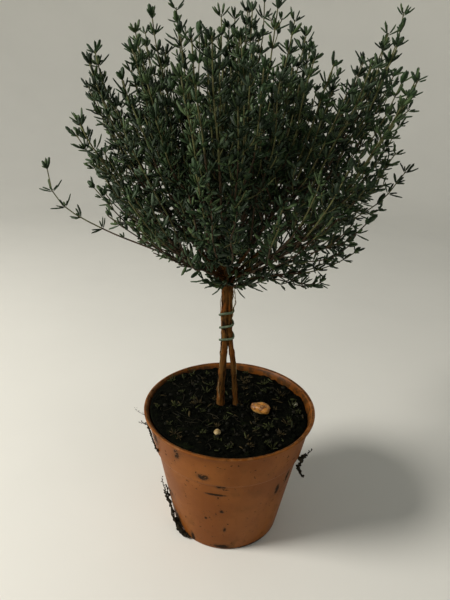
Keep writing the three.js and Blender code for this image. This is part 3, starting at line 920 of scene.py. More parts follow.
# each thread leaves the bark at one end, stands off in the middle and comes back to it, and thins
# towards its end
def makeBarkThreads():
    t = np.linspace(0, 1, threadLook["stations"])
    arch = np.sin(np.pi * t)
    paths = []
    for i, (which, start, end, turn, off) in enumerate(barkThreads):
        up = between(start, end, t)
        angle = math.radians(turn) + threadLook["swing"] * np.sin(3 * t + i)
        out = threadLook["sunk"] * stemRadius(stems[which], up) + off * arch**2
        way = pointsOf(np.cos(angle), np.sin(angle), 0 * t)
        path = stemPath(stems[which], up) + out[:, None] * way
        crooked = threadLook["crooked"] * arch[:, None] * drift(path, 4, 150 + i)
        paths.append(path + crooked)
    paths = np.array(paths)
    radius = np.full(paths.shape[:2], threadLook["radius"]) * (1 - 0.5 * t)
    points, faces, _ = tubes(paths, radius, sideways, 5)
    finish = driftFinish("looseThread", tone(150, 132, 96), tone(96, 78, 50), 3, 0.8)
    place(makePiece("bark_threads", points, faces, [finish]), "bark", "stem_right")


# each stem is one barked tube along its line
def makeStems():
    for i, stem in enumerate(stems):
        up = np.linspace(-rooted, stem["stations"][-1][2], barkRelief["stations"])
        path, radius = stemPath(stem, up)[None], stemRadius(stem, up)[None]
        points, faces, limb = barkedTubes(path, radius, sideways, barkRelief["sides"], 70 + i)
        piece = makePiece(f"bark_{stem['node']}", points, faces, [bark], limb=limb)
        place(piece, "bark", stem["node"])


makeStems()
makeBarkThreads()

tie = {
    "wireRadius": 0.68,
    "low": 47,  # height over the soil at which it starts
    "pitch": 8.2,
    "turns": 2.6,
    "backRise": 0.5,  # share of the pitch by which it is off an even rise
    "gap": -0.05,  # between it and the stems, which it presses into
    "tail": 0.3,  # mm by which its two ends stand off
    "steps": 260,
    "sides": 12,
}
tieColours = {"green": tone(66, 80, 58), "light": tone(98, 110, 88), "grime": tone(44, 44, 30)}


# the wire winds round both stems, level in front and rising behind, snug but a little uneven
def tiePath(t):
    turn = t * tie["turns"] * 2 * np.pi
    angle = np.pi + turn
    up = tie["low"] + tie["pitch"] * (turn - tie["backRise"] * np.cos(angle)) / (2 * np.pi)
    left, right = (stemPath(stem, up) for stem in stems)
    share = ((1 + np.clip(2 * np.cos(angle), -1, 1)) / 2)[:, None]
    around = between(stemRadius(stems[0], up), stemRadius(stems[1], up), share[:, 0])
    out = around + tie["gap"] + tie["wireRadius"] + tie["tail"] * nearEnds(t, 14) ** 2
    ring = pointsOf(out * np.cos(angle), out * np.sin(angle), 0 * t)
    wobble = pointsOf(0 * t, 0 * t, 0.35 * np.sin(5.2 * turn / np.pi) * np.sin(turn / 3))
    return between(left, right, share) + ring + wobble


# green wire worn lighter in patches, with grime between them
def tieFinish():
    finish = Finish("greenWire", IOR=1.45)
    limb = finish.limbSpot()
    worn = finish.blotches(limb, 2.4, 4, 0.6)
    grime = finish.patches(limb, 1.0, 0.54, 0.7)
    layers = ("light", finish.edge(worn, 0.45, 0.68)), ("grime", 0.6 * grime)
    colour = finish.layered(tieColours, "green", *layers)
    return finish.done(colour, 0.42 + 0.3 * worn, 0.5 * worn + 0.5 * grime, 0.15)


# one tube along the wire's line, its thickness uneven where it was bent, its ends rounded
def makeTie():
    t = np.linspace(0, 1, tie["steps"])
    path = tiePath(t)[None]
    kinks = 1 + 0.06 * np.sin(97 * t) * np.sin(31 * t)
    radius = (tie["wireRadius"] * kinks * (1 - 0.5 * nearEnds(t, 90) ** 2))[None]
    points, faces, limb = tubes(path, radius, upwards, tie["sides"])
    piece = makePiece("tie_wire", points, faces, [tieFinish()], limb=limb)
    place(piece, "tie_wire", "tie")


makeTie()

head = np.array([-3.7, 2, 165])  # the boughs spread from here
# limbs turn up as they go out: at liftReach mm by the share lift of the lean they set off at
growth = {"lift": 0.28, "liftReach": 140, "liftPower": 1.5}
underside = {"lean": 104, "heldUp": 33}  # degrees: the lowest lean, and less by this in front
# how far shoots reach: most mm if they set off steeper than "from" degrees, least mm past "to",
# and the share by which they reach further on the right
envelope = {"most": 144, "least": 50, "from": 42, "to": 92, "highRight": 0.03, "lowRight": 0.32}
# where the crown is hollow or proud: azimuth and lean in degrees, how wide, share of the reach
dents = [
    (0, 6, 6, 0.1), (-42, 32, 8, -0.12), (0, 29, 7, -0.2), (42, 36, 8, -0.12),
    (0, 46, 7, 0.06), (0, 61, 7, 0.2), (185, 38, 5, 0.04), (190, 52, 6, -0.2),
    (165, 63, 7, 0.22), (195, 63, 7, 0.26), (180, 78, 8, -0.14), (180, 93, 14, -0.6),
]
# tiers of masses: how many, their lean and the first one's azimuth in degrees, and the bough's
# length, height over the head at which it starts, radius and number of side shoots
tierFacts = ("name", "count", "lean", "turn", "bough", "rise", "radius", "shoots")
tiers = [
    ("crest", 3, 18, 75, 24, 6, 1.2, 15),
    ("upper", 6, 46, 10, 22, 3, 1.2, 16),
    ("shoulder", 7, 67, 13, 18, -1, 1.1, 10),
    ("skirt", 6, 86, 0, 13, -5, 0.9, 5),
]
uneven = {"reach": 0.05, "turn": 7}  # how far masses are off their tier's own numbers
boughTaper = 0.7  # a bough's radius at its end over that at its start
riseFade = 0.6  # share of a bough over which it comes to its mass's line
# the lone shoot that reaches out past the others: whose place it takes, and its own growth
stray = {
    "tier": "skirt",
    "place": 3,
    "lean": 68.5,
    "reach": 121,
    "lift": 0.205,
    "liftReach": 117,
    "liftPower": 11,
}
clearance = 0.3  # mm between masses, and between foliage and boughs


# the direction at an azimuth and a lean from the vertical
def wayOf(azimuth, lean):
    flat = np.sin(lean)
    parts = flat * np.cos(azimuth), flat * np.sin(azimuth), np.cos(lean)
    return pointsOf(*np.broadcast_arrays(*parts))


# the furthest that shoots lean out at an azimuth: less towards the front, by the sine of it
def lowestLean(azimuth):
    return np.radians(underside["lean"] - underside["heldUp"] * np.maximum(0, -np.sin(azimuth)))


# a point at a distance r from the head on a limb that set off at this azimuth and lean
def limbAt(azimuth, lean, r, rule=growth):
    now = lean * (1 - rule["lift"] * (r / rule["liftReach"]) ** rule["liftPower"])
    return wayOf(azimuth, now) * np.asarray(r)[..., None] + head


# the azimuth and lean at which the limb through a point set off, and the point's distance
def settingOff(points):
    out = points - head
    r = np.maximum(np.linalg.norm(out, axis=-1), 1e-6)
    lean = np.arccos(np.clip(out[..., 2] / r, -1, 1))
    lifted = 1 - growth["lift"] * (np.minimum(r, 200) / growth["liftReach"]) ** growth["liftPower"]
    return np.arctan2(out[..., 1], out[..., 0]), lean / lifted, r


# how far shoots reach that set off at this azimuth and lean: less the more they lean, further on
# the right, and at each dent a bell's share more or less
def reachAt(azimuth, lean):
    low = easeIn(math.radians(envelope["from"]), math.radians(envelope["to"]), lean)
    shape = 1 + between(envelope["highRight"], envelope["lowRight"], low) * np.cos(azimuth)
    way = wayOf(azimuth, lean)
    for dentAzimuth, dentLean, wide, share in dents:
        middle = wayOf(math.radians(dentAzimuth), math.radians(dentLean))
        away = np.sum((way - middle) ** 2, axis=-1) / math.radians(wide) ** 2
        shape = shape + share * np.exp(-away / 2)
    return between(envelope["most"], envelope["least"], low) * shape


# the point at a distance r from the head on the line of a mass's bough and main shoot
def massAt(mass, r):
    return limbAt(mass["azimuth"], mass["lean"], r, mass["rule"])


# the masses of each tier stand evenly round, each swayed a little and with a reach of its own; a
# mass's way is the direction in which the limb at the middle of its space set off
def planHead():
    found = []
    for level, facts in enumerate(tiers):
        tier = dict(zip(tierFacts, facts))
        for i in range(tier["count"]):
            strays = tier["name"] == stray["tier"] and i == stray["place"]
            off = 0 if strays else uneven["turn"] * sway(level, i, 1)
            azimuth = math.radians(tier["turn"] + 360 * i / tier["count"] + off)
            lean = math.radians(tier["lean"]) * lowestLean(azimuth) / math.radians(underside["lean"])
            vigour = 1 + uneven["reach"] * sway(level, i, 2)
            mass = {
                **tier,
                "name": f"{tier['name']}_{i + 1}",
                "seed": 100 * (level + 1) + i,
                "azimuth": azimuth,
                "lean": math.radians(stray["lean"]) if strays else lean,
                "vigour": vigour,
                "reach": stray["reach"] if strays else vigour * float(reachAt(azimuth, lean)),
                "rule": stray if strays else growth,
                "strays": strays,
            }
            azimuth, lean, _ = settingOff(massAt(mass, 0.7 * mass["reach"]))
            mass["way"] = wayOf(azimuth, lean)
            mass["level"] = unit(np.cross(upwards, mass["way"]))
            mass["upward"] = np.cross(mass["way"], mass["level"])
            found.append(mass)
    return found


masses = planHead()


# the bough's own line leaves the stems over or under the head's centre, and comes to its mass's
# line as the square of what is left of the way
def boughAt(mass, r):
    fade = np.maximum(0, 1 - r / (riseFade * mass["bough"])) ** 2
    return massAt(mass, r) + (mass["rise"] * fade)[..., None] * upwards


# whether points keep to a mass's space: nearer to its way than to any other's, neither in among
# the boughs, nor under the crown, nor past its reach; slack is how far they may leave it in mm
# on the sides, and inward how far towards the fork
def inSpace(mass, points, slack=0.0, inward=0.0):
    azimuth, lean, r = settingOff(points)
    ways = wayOf(azimuth, lean)
    others = np.array([other["way"] for other in masses if other is not mass])
    across = unit(mass["way"] - others)
    keeps = (ways @ across.T * r[..., None] > clearance - slack).all(-1)
    reach = mass["vigour"] * reachAt(azimuth, lean)
    if mass["strays"]:
        reach = np.maximum(reach, mass["reach"])
    clearOfFork = r > mass["bough"] + clearance - inward
    return keeps & clearOfFork & (r < reach) & (lean < lowestLean(azimuth))


boughLook = {"stations": 44, "sides": 14, "depth": 0.8}


# each bough is one barked tube along its line, crooked but for its two ends, with a swelling at
# each old joint
def makeBoughs():
    for mass in masses:
        r = np.linspace(0.5, mass["bough"] + 1.0, boughLook["stations"])
        path = boughAt(mass, r)
        starting, ending = easeIn(0, 12, r)[:, None], easeIn(0, 8, mass["bough"] - r)[:, None]
        path = path + 0.5 * starting * drift(path, 14, mass["seed"]) * ending
        radius = mass["radius"] * between(1, boughTaper, r / mass["bough"])
        radius = radius * (1 + 0.1 * np.maximum(0, np.cos(2 * np.pi * r / 9)) ** 6)
        args = path[None], radius[None], mass["level"], boughLook["sides"], mass["seed"]
        points, faces, limb = barkedTubes(*args, boughLook["depth"])
        name = f"bough_{mass['name']}"
        # the boughs take the bark with painted shade, for the crown's shadow on them
        place(makePiece(f"bark_{name}", points, faces, [shadedBark], limb=limb), "bark", name)


makeBoughs()
print("stems, tie and boughs made")

shoots = {
    "spread": 27,  # degrees from the main shoot to the furthest side shoot
    "firstFork": 0.03,  # shares of the mass's length between which side shoots leave the main one
    "lastFork": 0.34,
    "shortest": 0.74,  # share of the reach that the shortest side shoot goes
    "swing": 34,  # mm over which a side shoot swings out to its own way
    "sideRadius": 0.5,
    "tipRadius": 0.28,
    "stations": 14,
    "wander": 2.2,  # mm by which shoots stray from their smooth line
    "tipRise": 3,  # mm by which a tip turns up
    "tried": 160,  # how many side shoots are tried at most
    "least": 10,  # mm that a side shoot has to be long
}
twiglets = {
    "chance": 0.22,  # share of leaf joints that bear one on each side
    "onBoughs": 0.5,  # the same along the boughs
    "shortest": 6,
    "longest": 28,
    "perJointMm": 0.42,  # its length over the joint's distance from the shoot's tip
    "lengths": (0.6, 1.15),
    "radius": 0.3,
    "tipRadius": 0.2,
    "stations": 5,
}
joints = {
    "first": 1.2,  # mm from a shoot's tip to its last pair of leaves
    "step": 5.8,  # to the next pair, growing towards the foot
    "grow": 1.0,
    "most": 12,
    "leafy": 118,  # mm of a shoot that bear leaves
}
leaves = {
    "length": 7.4,
    "width": 2.3,
    "thickness": 0.8,
    "open": 68,  # degrees between a leaf and its shoot
    "tipOpen": 50,
    "bend": 0.15,
    "lengths": (0.7, 1.12),  # from the shortest to the longest, over the length above
    "widths": (0.75, 1.08),
    "splays": (0.72, 1.22),
    "bends": (0.0, 1.9),
    "budsEachSide": 3,  # the small leaves in a leaf's armpit
    "budShare": 0.85,  # of them that are there
    "budLength": 4.5,
    "budWidth": 1.7,
    "budLengths": (0.55, 1.35),
    "budWidths": (0.7, 1),
    "budOpen": (16, 80),
    "overBorder": 6,  # mm by which leaves of neighbouring masses may mingle
    "towardsFork": 16,  # mm by which leaves may hang in over the boughs
}


# side shoots' own ways: the k-th is turned about the main one by k golden turns, and away from it
# by the square root of an even spread, so that the ways are evenly spread over a cap
def sideWays(mass, k):
    away = np.radians(shoots["spread"]) * np.sqrt((k * spiralStep) % 1)
    turn = k * goldenTurn + 2 * np.pi * chance(mass["seed"], 7)
    way = np.cos(away)[:, None] * mass["way"]
    way = way + (np.sin(away) * np.cos(turn))[:, None] * mass["level"]
    way = way + (np.sin(away) * np.sin(turn))[:, None] * mass["upward"]
    return np.arctan2(way[:, 1], way[:, 0]), np.arccos(way[:, 2])


# the main shoot and the side shoots whose tips keep to the mass's space, as paths: side shoots
# leave the main one at a fork and swing out to ways of their own
def shootPaths(mass):
    seed = mass["seed"]
    k = np.arange(1, shoots["tried"])
    azimuth, lean = sideWays(mass, k)
    furthest = mass["vigour"] * reachAt(azimuth, lean)
    forkShare = between(shoots["firstFork"], shoots["lastFork"], chance(seed, k, 8))
    fork = between(mass["bough"], furthest, forkShare)
    tip = (furthest - leaves["length"]) * between(shoots["shortest"], 1, chance(seed, k, 9))
    longEnough = tip > fork + shoots["least"]
    kept = np.flatnonzero(inSpace(mass, limbAt(azimuth, lean, tip)) & longEnough)
    kept = kept[: mass["shoots"]]
    t = np.linspace(0, 1, shoots["stations"])
    r = between(fork[kept, None], tip[kept, None], t)
    stillToSwing = 1 - np.minimum(1, (r - fork[kept, None]) / shoots["swing"])
    own = limbAt(azimuth[kept, None], lean[kept, None], r)
    side = between(massAt(mass, r), own, (1 - stillToSwing**2)[..., None])
    mainR = between(mass["bough"] - 0.5, mass["reach"] - leaves["length"], t)
    paths = np.concatenate([massAt(mass, mainR)[None], side])
    wander, rise = shoots["wander"], shoots["tipRise"]
    if mass["strays"]:
        wander, rise = 0.25 * wander, 0
    paths = paths + wander * easeIn(0, 0.5, t)[:, None] * drift(paths, 22, seed)
    return paths + rise * (t**5)[:, None] * upwards, np.r_[0, k[kept]]


# the point and the way at shares of paths: both blended between the two nearest stations
def alongPaths(paths, share):
    steps = paths.shape[1] - 1
    placed = np.clip(share, 0, 1) * steps
    i = np.minimum(placed.astype(int), steps - 1)
    part = (placed - i)[..., None]
    ways = unit(np.gradient(paths, axis=1))
    rows = np.arange(len(paths))[:, None]
    point = between(paths[rows, i], paths[rows, i + 1], part)
    return point, unit(between(ways[rows, i], ways[rows, i + 1], part))


# distances of leaf joints from a shoot's tip, wider apart towards its foot
def jointDistances(reach, stretch):
    found = [joints["first"]]
    step = joints["step"]
    while found[-1] + step * stretch < reach:
        found.append(found[-1] + step * stretch)
        step = min(joints["most"], step + joints["grow"])
    return np.array(found)


# turns vectors by an angle about a way square to them
def turnedAbout(way, vectors, angle):
    return np.cos(angle)[..., None] * vectors + np.sin(angle)[..., None] * np.cross(way, vectors)


# the leaf joints of shoots: the shoots' lengths, even distances from the tip, and by shoot and
# joint the swayed distances, shoot numbers, joint numbers, points, ways and the side of one leaf,
# which is a right angle on from the last joint's
def jointsAlong(paths, across, ids, seed, stretch=1.0, first=0, shift=0.0):
    long = np.sum(np.linalg.norm(np.diff(paths, axis=1), axis=-1), axis=1)[:, None]
    far = jointDistances(min(joints["leafy"], long.max()), stretch)[first:]
    j = np.arange(first, len(far) + first)[None, :]
    own = ids[:, None]
    distance = far + shift * sway(seed, own, j, 1) * np.minimum(1, far / 6)
    point, along = alongPaths(paths, 1 - distance / long)
    side = squareTo(along, np.broadcast_to(across[:, None], along.shape))
    side = turnedAbout(along, side, np.pi / 2 * (j % 2) + 0.35 * sway(seed, own, j, 2))
    return long, far, distance, own, j, point, along, side


# the leaves that are there, one a row, of arrays of shoots by joints
def leafRows(there, *parts):
    return [np.broadcast_to(part, there.shape + part.shape[2:])[there] for part in parts]


# leaves in crossed pairs at the joints of shoots, with small leaves in the armpit of each: batches
# of a blade's number and rows of roots, ways, sides, angles between leaf and shoot, lengths,
# widths, bends and shoot numbers
def leavesAlong(paths, across, ids, seed, size=1.0, stretch=1.0, buds=leaves["budsEachSide"]):
    joint = jointsAlong(paths, across, ids, seed, stretch, shift=1.1)
    long, far, distance, own, j, point, along, side = joint
    living = distance < long - 1.5
    nearTip = np.exp(-far / 3)[None, :]
    batches = []

    def anyOf(name, key):
        return between(*leaves[name], chance(seed, own, j, key))

    for half in (0, 1):
        outward = side * (1 - 2 * half)
        splay = np.radians(between(leaves["open"], leaves["tipOpen"], nearTip))
        splay = splay * anyOf("splays", half + 3)
        grown = between(1.0, 0.82, nearTip) * anyOf("lengths", half + 5)
        length = leaves["length"] * size * grown
        width = leaves["width"] * size**0.5 * anyOf("widths", half + 15)
        bend = leaves["bend"] * anyOf("bends", half + 25)
        rows = leafRows(living, point, along, outward, splay, length, width, bend, own)
        batches.append((0, rows))
        root = point + 0.7 * along + 0.4 * outward
        for bud in range(buds):
            key = 40 + 10 * bud + half
            swung = turnedAbout(along, outward, 0.9 * (bud - 1) + 0.7 * sway(seed, own, j, key))
            splay = np.radians(anyOf("budOpen", key + 2))
            length = leaves["budLength"] * size**0.5 * anyOf("budLengths", key + 4)
            width = leaves["budWidth"] * anyOf("budWidths", key + 6)
            bend = 0.1 + 0 * length
            there = living & (chance(seed, own, j, key + 8) < leaves["budShare"])
            rows = leafRows(there, root, along, swung, splay, length, width, bend, own)
            batches.append((1, rows))
    return batches


# short twigs in the armpits of leaves, with their sides and numbers: each sets off at about half
# a right angle to its shoot, and its way turns evenly to one beside the shoot and upwards
def twigletPaths(paths, across, ids, seed, share=twiglets["chance"]):
    long, far, _, own, j, point, along, side = jointsAlong(paths, across, ids, seed, first=2)
    length = np.clip(twiglets["perJointMm"] * far, twiglets["shortest"], twiglets["longest"])
    t = np.linspace(0, 1, twiglets["stations"])[:, None]
    found = []
    for half in (0, 1):
        outward = side * (1 - 2 * half)
        there = (chance(seed, own, j, half + 61) < share) & (far < long - 4)
        row, column = np.nonzero(there)
        grown = length * between(*twiglets["lengths"], chance(seed, own, j, half + 63))
        grown = grown[row, column]
        first = unit(along + 1.1 * outward)[row, column]
        last = unit(along + 0.35 * outward + 0.45 * upwards)[row, column]
        bowed = first[:, None] * t + (last - first)[:, None] * t**2 / 2
        path = point[row, column][:, None] + bowed * grown[:, None, None]
        number = 200 * (half + 1) * (ids[row] + 1) + column
        found.append((path, outward[row, column], number))
    return [np.concatenate(part) for part in zip(*found)]


# closed blades: rings of a few corners along a line that bends from the leaf's way to its face
# as the square of the distance
def blades(root, along, outward, splay, length, width, bend, shares, widths, sides):
    way = np.cos(splay)[:, None] * along + np.sin(splay)[:, None] * outward
    way = unit(way + 0.1 * upwards)
    across = squareTo(way, unit(np.cross(along, outward)))
    face = np.cross(way, across)
    t = np.array(shares)[:, None]
    line = way[:, None] * t + face[:, None] * bend[:, None, None] * t**2
    paths = root[:, None] + line * length[:, None, None]
    half = width[:, None] / 2 * np.array(widths)
    flat = (leaves["thickness"] / width)[:, None, None, None]
    rings = ringsAlong(paths, half, across, sides, flat)
    return closedTubes(rings[:, 1:-1], paths[:, 0], paths[:, -1])


# whether places are further from every bough than its thickness: a bough is taken as six straight
# spans, and each place's distance is told from the nearest point of each
def clearOfBoughs(points):
    keeps = np.ones(len(points), bool)
    for mass in masses:
        line = boughAt(mass, np.linspace(0, mass["bough"], 7))
        for start, end in zip(line[:-1], line[1:]):
            way = end - start
            share = np.clip((points - start) @ way / (way @ way), 0, 1)
            away = np.linalg.norm(points - start - share[:, None] * way, axis=-1)
            keeps &= away > mass["radius"] + clearance
    return keeps


eyeUp = np.array([0, 0.38, 0.925])  # upright for an eye in front of the plant and a little above
# where the head is open right through for that eye: the turn from upright towards +X, how wide,
# both in degrees, how far from the fork in mm, the share of the leaves that is missing
openings = [(61, 9, 62, 0.85), (-78, 13, 85, 0.85), (66, 5, 24, 0.6)]


# the share of leaves that grow at places: each opening takes its share where its turn is near, as
# a bell, and lets it grow again further out
def shareLeft(points):
    out = points - head
    right, up = out[:, 0], out @ eyeUp
    turn = np.degrees(np.arctan2(right, up))
    left = np.ones(len(points))
    for middle, wide, within, share in openings:
        near = np.exp(-0.5 * ((turn - middle) / wide) ** 2)
        left *= 1 - share * near * (1 - easeIn(0.7 * within, within, np.hypot(right, up)))
    return left


leafTones = {
    "leafDark": (tone(28, 45, 22), tone(19, 33, 15)),
    "leafMid": (tone(39, 61, 30), tone(29, 47, 24)),
    "leafGrey": (tone(58, 74, 53), tone(44, 58, 40)),
    "leafYoung": (tone(62, 80, 44), tone(47, 64, 35)),
}
leafShares = [0.42, 0.74, 0.88]  # where a spray's number passes from one tone to the next
twigTones = {
    "woody": (tone(70, 53, 35), tone(44, 34, 22)),
    "green": (tone(92, 94, 56), tone(70, 66, 40)),
}
greenFrom = 0.62  # share of a mass's reach at which its twigs turn from woody to green


# a leaf's green drifts between two tones, a little rough
def leafFinish(name, one, other):
    finish = Finish(name, IOR=1.42, Specular_IOR_Level=0.35)
    spot = finish.spot()
    colour = finish.blend(one, other, finish.patches(spot, 6, 0.35, 0.65, 3, 0.55))
    roughness = 0.42 + 0.3 * finish.blotches(spot, 1.5)
    return finish.done(colour, roughness, finish.blotches(spot, 0.8, 2), 0.12)


leafFinishes = [leafFinish(name, *tones) for name, tones in leafTones.items()]
twigFinishes = [driftFinish(f"{name}Twig", *tones, 2.5, 0.6, 0.15) for name, tones in twigTones.items()]
# a full-grown leaf and a small one: places along it, widths there, and corners round it
bladeShapes = [
    {"shares": [0, 0.2, 0.55, 0.9, 1], "widths": [0, 0.62, 1.0, 0.72, 0], "sides": 4},
    {"shares": [0, 0.3, 0.82, 1], "widths": [0, 0.9, 0.95, 0], "sides": 3},
]


# the leaves of one mass as one piece, a tone for each spray, with young ones among them; each
# that would leave the space, stand in an opening or touch a bough is skipped
def makeLeaves(mass, batches, called="leaves", bounded=True):
    seed = mass["seed"]
    solids = []
    slots = []
    for kind, shape in enumerate(bladeShapes):
        chosen = [rows for batchKind, rows in batches if batchKind == kind]
        *parts, own = (np.concatenate(part) for part in zip(*chosen))
        root, along, outward, splay, length = parts[:5]
        way = unit(np.cos(splay)[:, None] * along + np.sin(splay)[:, None] * outward)
        tip = root + way * length[:, None]
        kept = clearOfBoughs(tip) & clearOfBoughs(root + way * length[:, None] / 2)
        if bounded:
            kept &= inSpace(mass, tip, leaves["overBorder"], leaves["towardsFork"])
            kept &= chance(seed, np.arange(len(root)), 35 + kind) < shareLeft(tip)
        points, faces = blades(*(part[kept] for part in parts), **shape)
        spray = chance(seed, own[kept], 31)
        young = chance(seed, own[kept], np.arange(kept.sum()), 33) < (0.1 + 0.2 * kind)
        slot = np.where(young, 3, np.searchsorted(leafShares, spray))
        solids.append((points, faces))
        slots.append(perSolid(slot, faces))
    slots = [np.concatenate(part) for part in zip(*slots)]
    piece = makePiece(f"{called}_{mass['name']}", *joined(solids), leafFinishes, slots)
    place(piece, "thyme_leaf", f"foliage_{mass['name']}")


# the twigs of one mass as one piece: tapered tubes, woody at the foot and green towards the tips
def makeTwigs(mass, paths, across, side, sideAcross):
    t = np.linspace(0, 1, paths.shape[1])
    foot = np.full(len(paths), shoots["sideRadius"])
    foot[0] = mass["radius"] * boughTaper
    radius = between(foot[:, None], shoots["tipRadius"], t**0.8)
    first, faces, _ = tubes(paths, radius, across, 6)
    radius = between(twiglets["radius"], twiglets["tipRadius"], np.linspace(0, 1, side.shape[1]))
    second, sideFaces, _ = tubes(side, radius, sideAcross, 4)
    middle = first[faces[0]].mean(axis=1)
    outer = np.linalg.norm(middle - head, axis=-1) / mass["reach"]
    green = outer + 0.08 * lumps(middle, 6, mass["seed"]) > greenFrom
    ends, sideEnds = np.zeros(len(faces[1])), np.ones(len(sideFaces[1]))
    slots = [green, np.ones(len(sideFaces[0])), ends, sideEnds]
    points, faces = joined([(first, faces), (second, sideFaces)])
    piece = makePiece(f"twigs_{mass['name']}", points, faces, twigFinishes, slots)
    place(piece, "bark", f"foliage_{mass['name']}")


# across ways for limbs: square to the line from foot to tip, on the side of the given way
def acrossFor(paths, way):
    along = unit(paths[:, -1] - paths[:, 0])
    return along, squareTo(along, np.broadcast_to(way, along.shape))


# the short twigs of a mass: those on its shoots whose tips keep to its space, clear of the boughs
# and of the openings, then those along its bough
def massTwiglets(mass, paths, across, ids, lone):
    seed = mass["seed"]
    outer = twigletPaths(paths[lone:], across[lone:], ids[lone:], seed)
    tips = outer[0][:, -1]
    kept = inSpace(mass, tips, leaves["overBorder"]) & clearOfBoughs(tips)
    kept &= chance(seed, np.arange(len(tips)), 37) < shareLeft(tips)
    line = boughAt(mass, np.linspace(3, mass["bough"] + 12, shoots["stations"]))[None]
    inner = twigletPaths(line, across[:1], ids[:1] + 9, seed, twiglets["onBoughs"])
    innerKept = clearOfBoughs(inner[0][:, -1])
    return [np.concatenate([one[kept], other[innerKept]]) for one, other in zip(outer, inner)]


# every mass's shoots, their short twigs, and the leaves of both; the lone shoot has no twigs, and
# its joints are further apart
def makeFoliage():
    for mass in masses:
        seed = mass["seed"]
        paths, ids = shootPaths(mass)
        along, across = acrossFor(paths, mass["level"])
        across = turnedAbout(along, across, np.pi * chance(seed, ids, 3))
        lone = int(mass["strays"])
        twigs = massTwiglets(mass, paths, across, ids, lone)
        batches = leavesAlong(paths[lone:], across[lone:], ids[lone:], seed)
        if lone:
            batches += leavesAlong(paths[:1], across[:1], ids[:1], seed, 1.15, 1.4)
        batches += leavesAlong(*twigs, seed, 0.8, 0.9, 1)
        makeLeaves(mass, batches)
        makeTwigs(mass, paths, across, *twigs[:2])


# short leafy twigs at the fork, under the head: azimuth and lean in degrees, length, and height
# over the head's centre at which each leaves the stems
forkTwigs = [
    (176, 94, 15, -4), (188, 70, 15, -2), (205, 98, 9, -3), (158, 96, 10, -5), (-8, 88, 24, -4),
    (14, 94, 30, -4), (-24, 90, 12, -3), (38, 98, 20, -4), (62, 90, 16, -4), (95, 93, 17, -3),
    (132, 90, 16, -4), (-55, 74, 12, -3), (-92, 70, 12, -3), (-125, 78, 12, -4),
]


# the twigs at the fork with their leaves, which are old and large: each turns up as it goes out
def makeForkTwigs():
    azimuth, lean, long, over = np.array(forkTwigs, float).T[:, :, None]
    t = np.linspace(0, 1, 8)
    way = wayOf(np.radians(azimuth), np.radians(lean - 16 * t))
    paths = head + over[..., None] * upwards + way * (long * t)[..., None]
    paths = paths + 1.2 * t[:, None] * drift(paths, 9, 160)
    _, across = acrossFor(paths, upwards)
    mass = masses[-3]  # the lone shoot's, whose node they stand for too
    batches = leavesAlong(paths, across, np.arange(len(paths)), 161, 1.2, 0.85, 1)
    makeLeaves(mass, batches, "fork_leaves", bounded=False)
    radius = between(0.5, 0.28, t) + 0 * long
    points, faces, _ = tubes(paths, radius, across, 6)
    piece = makePiece("fork_twigs", points, faces, twigFinishes)
    place(piece, "bark", f"foliage_{mass['name']}")


makeFoliage()
makeForkTwigs()
print("foliage made")

litter = {
    "fallen": 64,  # old leaves
    "fallenLength": 4.6,
    "green": 0.55,  # share of them
    "stars": 34,  # moss and seedlings: rosettes of fine leaves
    "starLength": 4.4,
    "starLeaves": 9,
}
# the rosettes that stand out: place on the compost
starPlaces = [
    (-22, -1), (-19, 1), (-33, -3), (-38, 27), (-26, 38), (-15, 14), (9, 33), (12, 30), (23, 29),
    (34, 18), (40, 6), (22, -20), (24, -17), (35, -13), (24, -38), (-31, -31), (30, -24),
]
litterFinishes = [
    driftFinish("oldLeaf", tone(66, 55, 28), tone(32, 28, 14), 2.5, 0.75),
    driftFinish("greenLitter", tone(58, 62, 28), tone(26, 30, 12), 2.5, 0.75),
]
# dry roots that cling to the pot: turn round it in degrees, height and mm off the wall at the one
# end, then at the other, thickness, and how far they go astray from the line between
strands = [
    ((-136, 1.2, 2.0), (-166, 24, 2.4), 0.8, 1.8),
    ((-140, 3, 1.0), (-160, 19, 1.4), 0.7, 2.0),
    ((-134, 1.2, 1.6), (-150, 9, 1.0), 1.2, 1.6),
    ((-130, 1.2, 0.8), (-143, 5, 2.0), 0.9, 1.5),
    ((-158, 14, 2.2), (-168, 27, 1.0), 0.6, 1.8),
    ((-163, 22, 2.6), (-172, 30, 3.2), 0.35, 1.4),
    ((-24, 62, 2.2), (-20, 45, 5.0), 1.0, 2.2),
    ((-21, 60, 3.6), (-24, 50, 2.2), 0.8, 2.6),
    ((-25, 60, 1.6), (-14, 61, 6.5), 0.4, 1.4),
    ((-21, 50, 3.6), (-17, 44, 6.5), 0.45, 2.0),
    ((-162, 83, 1.0), (-170, 86, 6.0), 0.16, 0.8),
    ((-160, 79, 1.0), (-166, 77, 5.5), 0.3, 1.2),
    ((-158, 82, 1.2), (-148, 64, 0.6), 0.6, 1.4),
    ((60, 24, 0.5), (78, 6, 0.8), 0.26, 2.4),
    ((128, 48, 0.5), (112, 26, 0.6), 0.22, 2.6),
]


# old leaves strewn on the compost, each a flat blade with a turn, a tilt and a bend of its own
def makeFallenLeaves():
    i, x, y = strewn(litter["fallen"], 81, compost["within"])
    turn = anyTurn(82, i)
    flat = pointsOf(np.cos(turn), np.sin(turn), 0.25 * sway(83, i))
    root = pointsOf(x, y, compostTop(x, y) + 0.5)
    tilt = squareTo(flat, pointsOf(sway(84, i), sway(85, i), 1.4 + 0 * turn))
    length = litter["fallenLength"] * between(0.5, 1.15, chance(86, i))
    width = 0.26 * length * between(0.7, 1.1, chance(87, i))
    args = root, flat, tilt, 0 * length, length, width, 0.3 * sway(88, i)
    points, faces = blades(*args, **bladeShapes[0])
    slots = perSolid(chance(89, i) > 1 - litter["green"], faces)
    place(makePiece("fallen_leaves", points, faces, litterFinishes, slots), "compost")


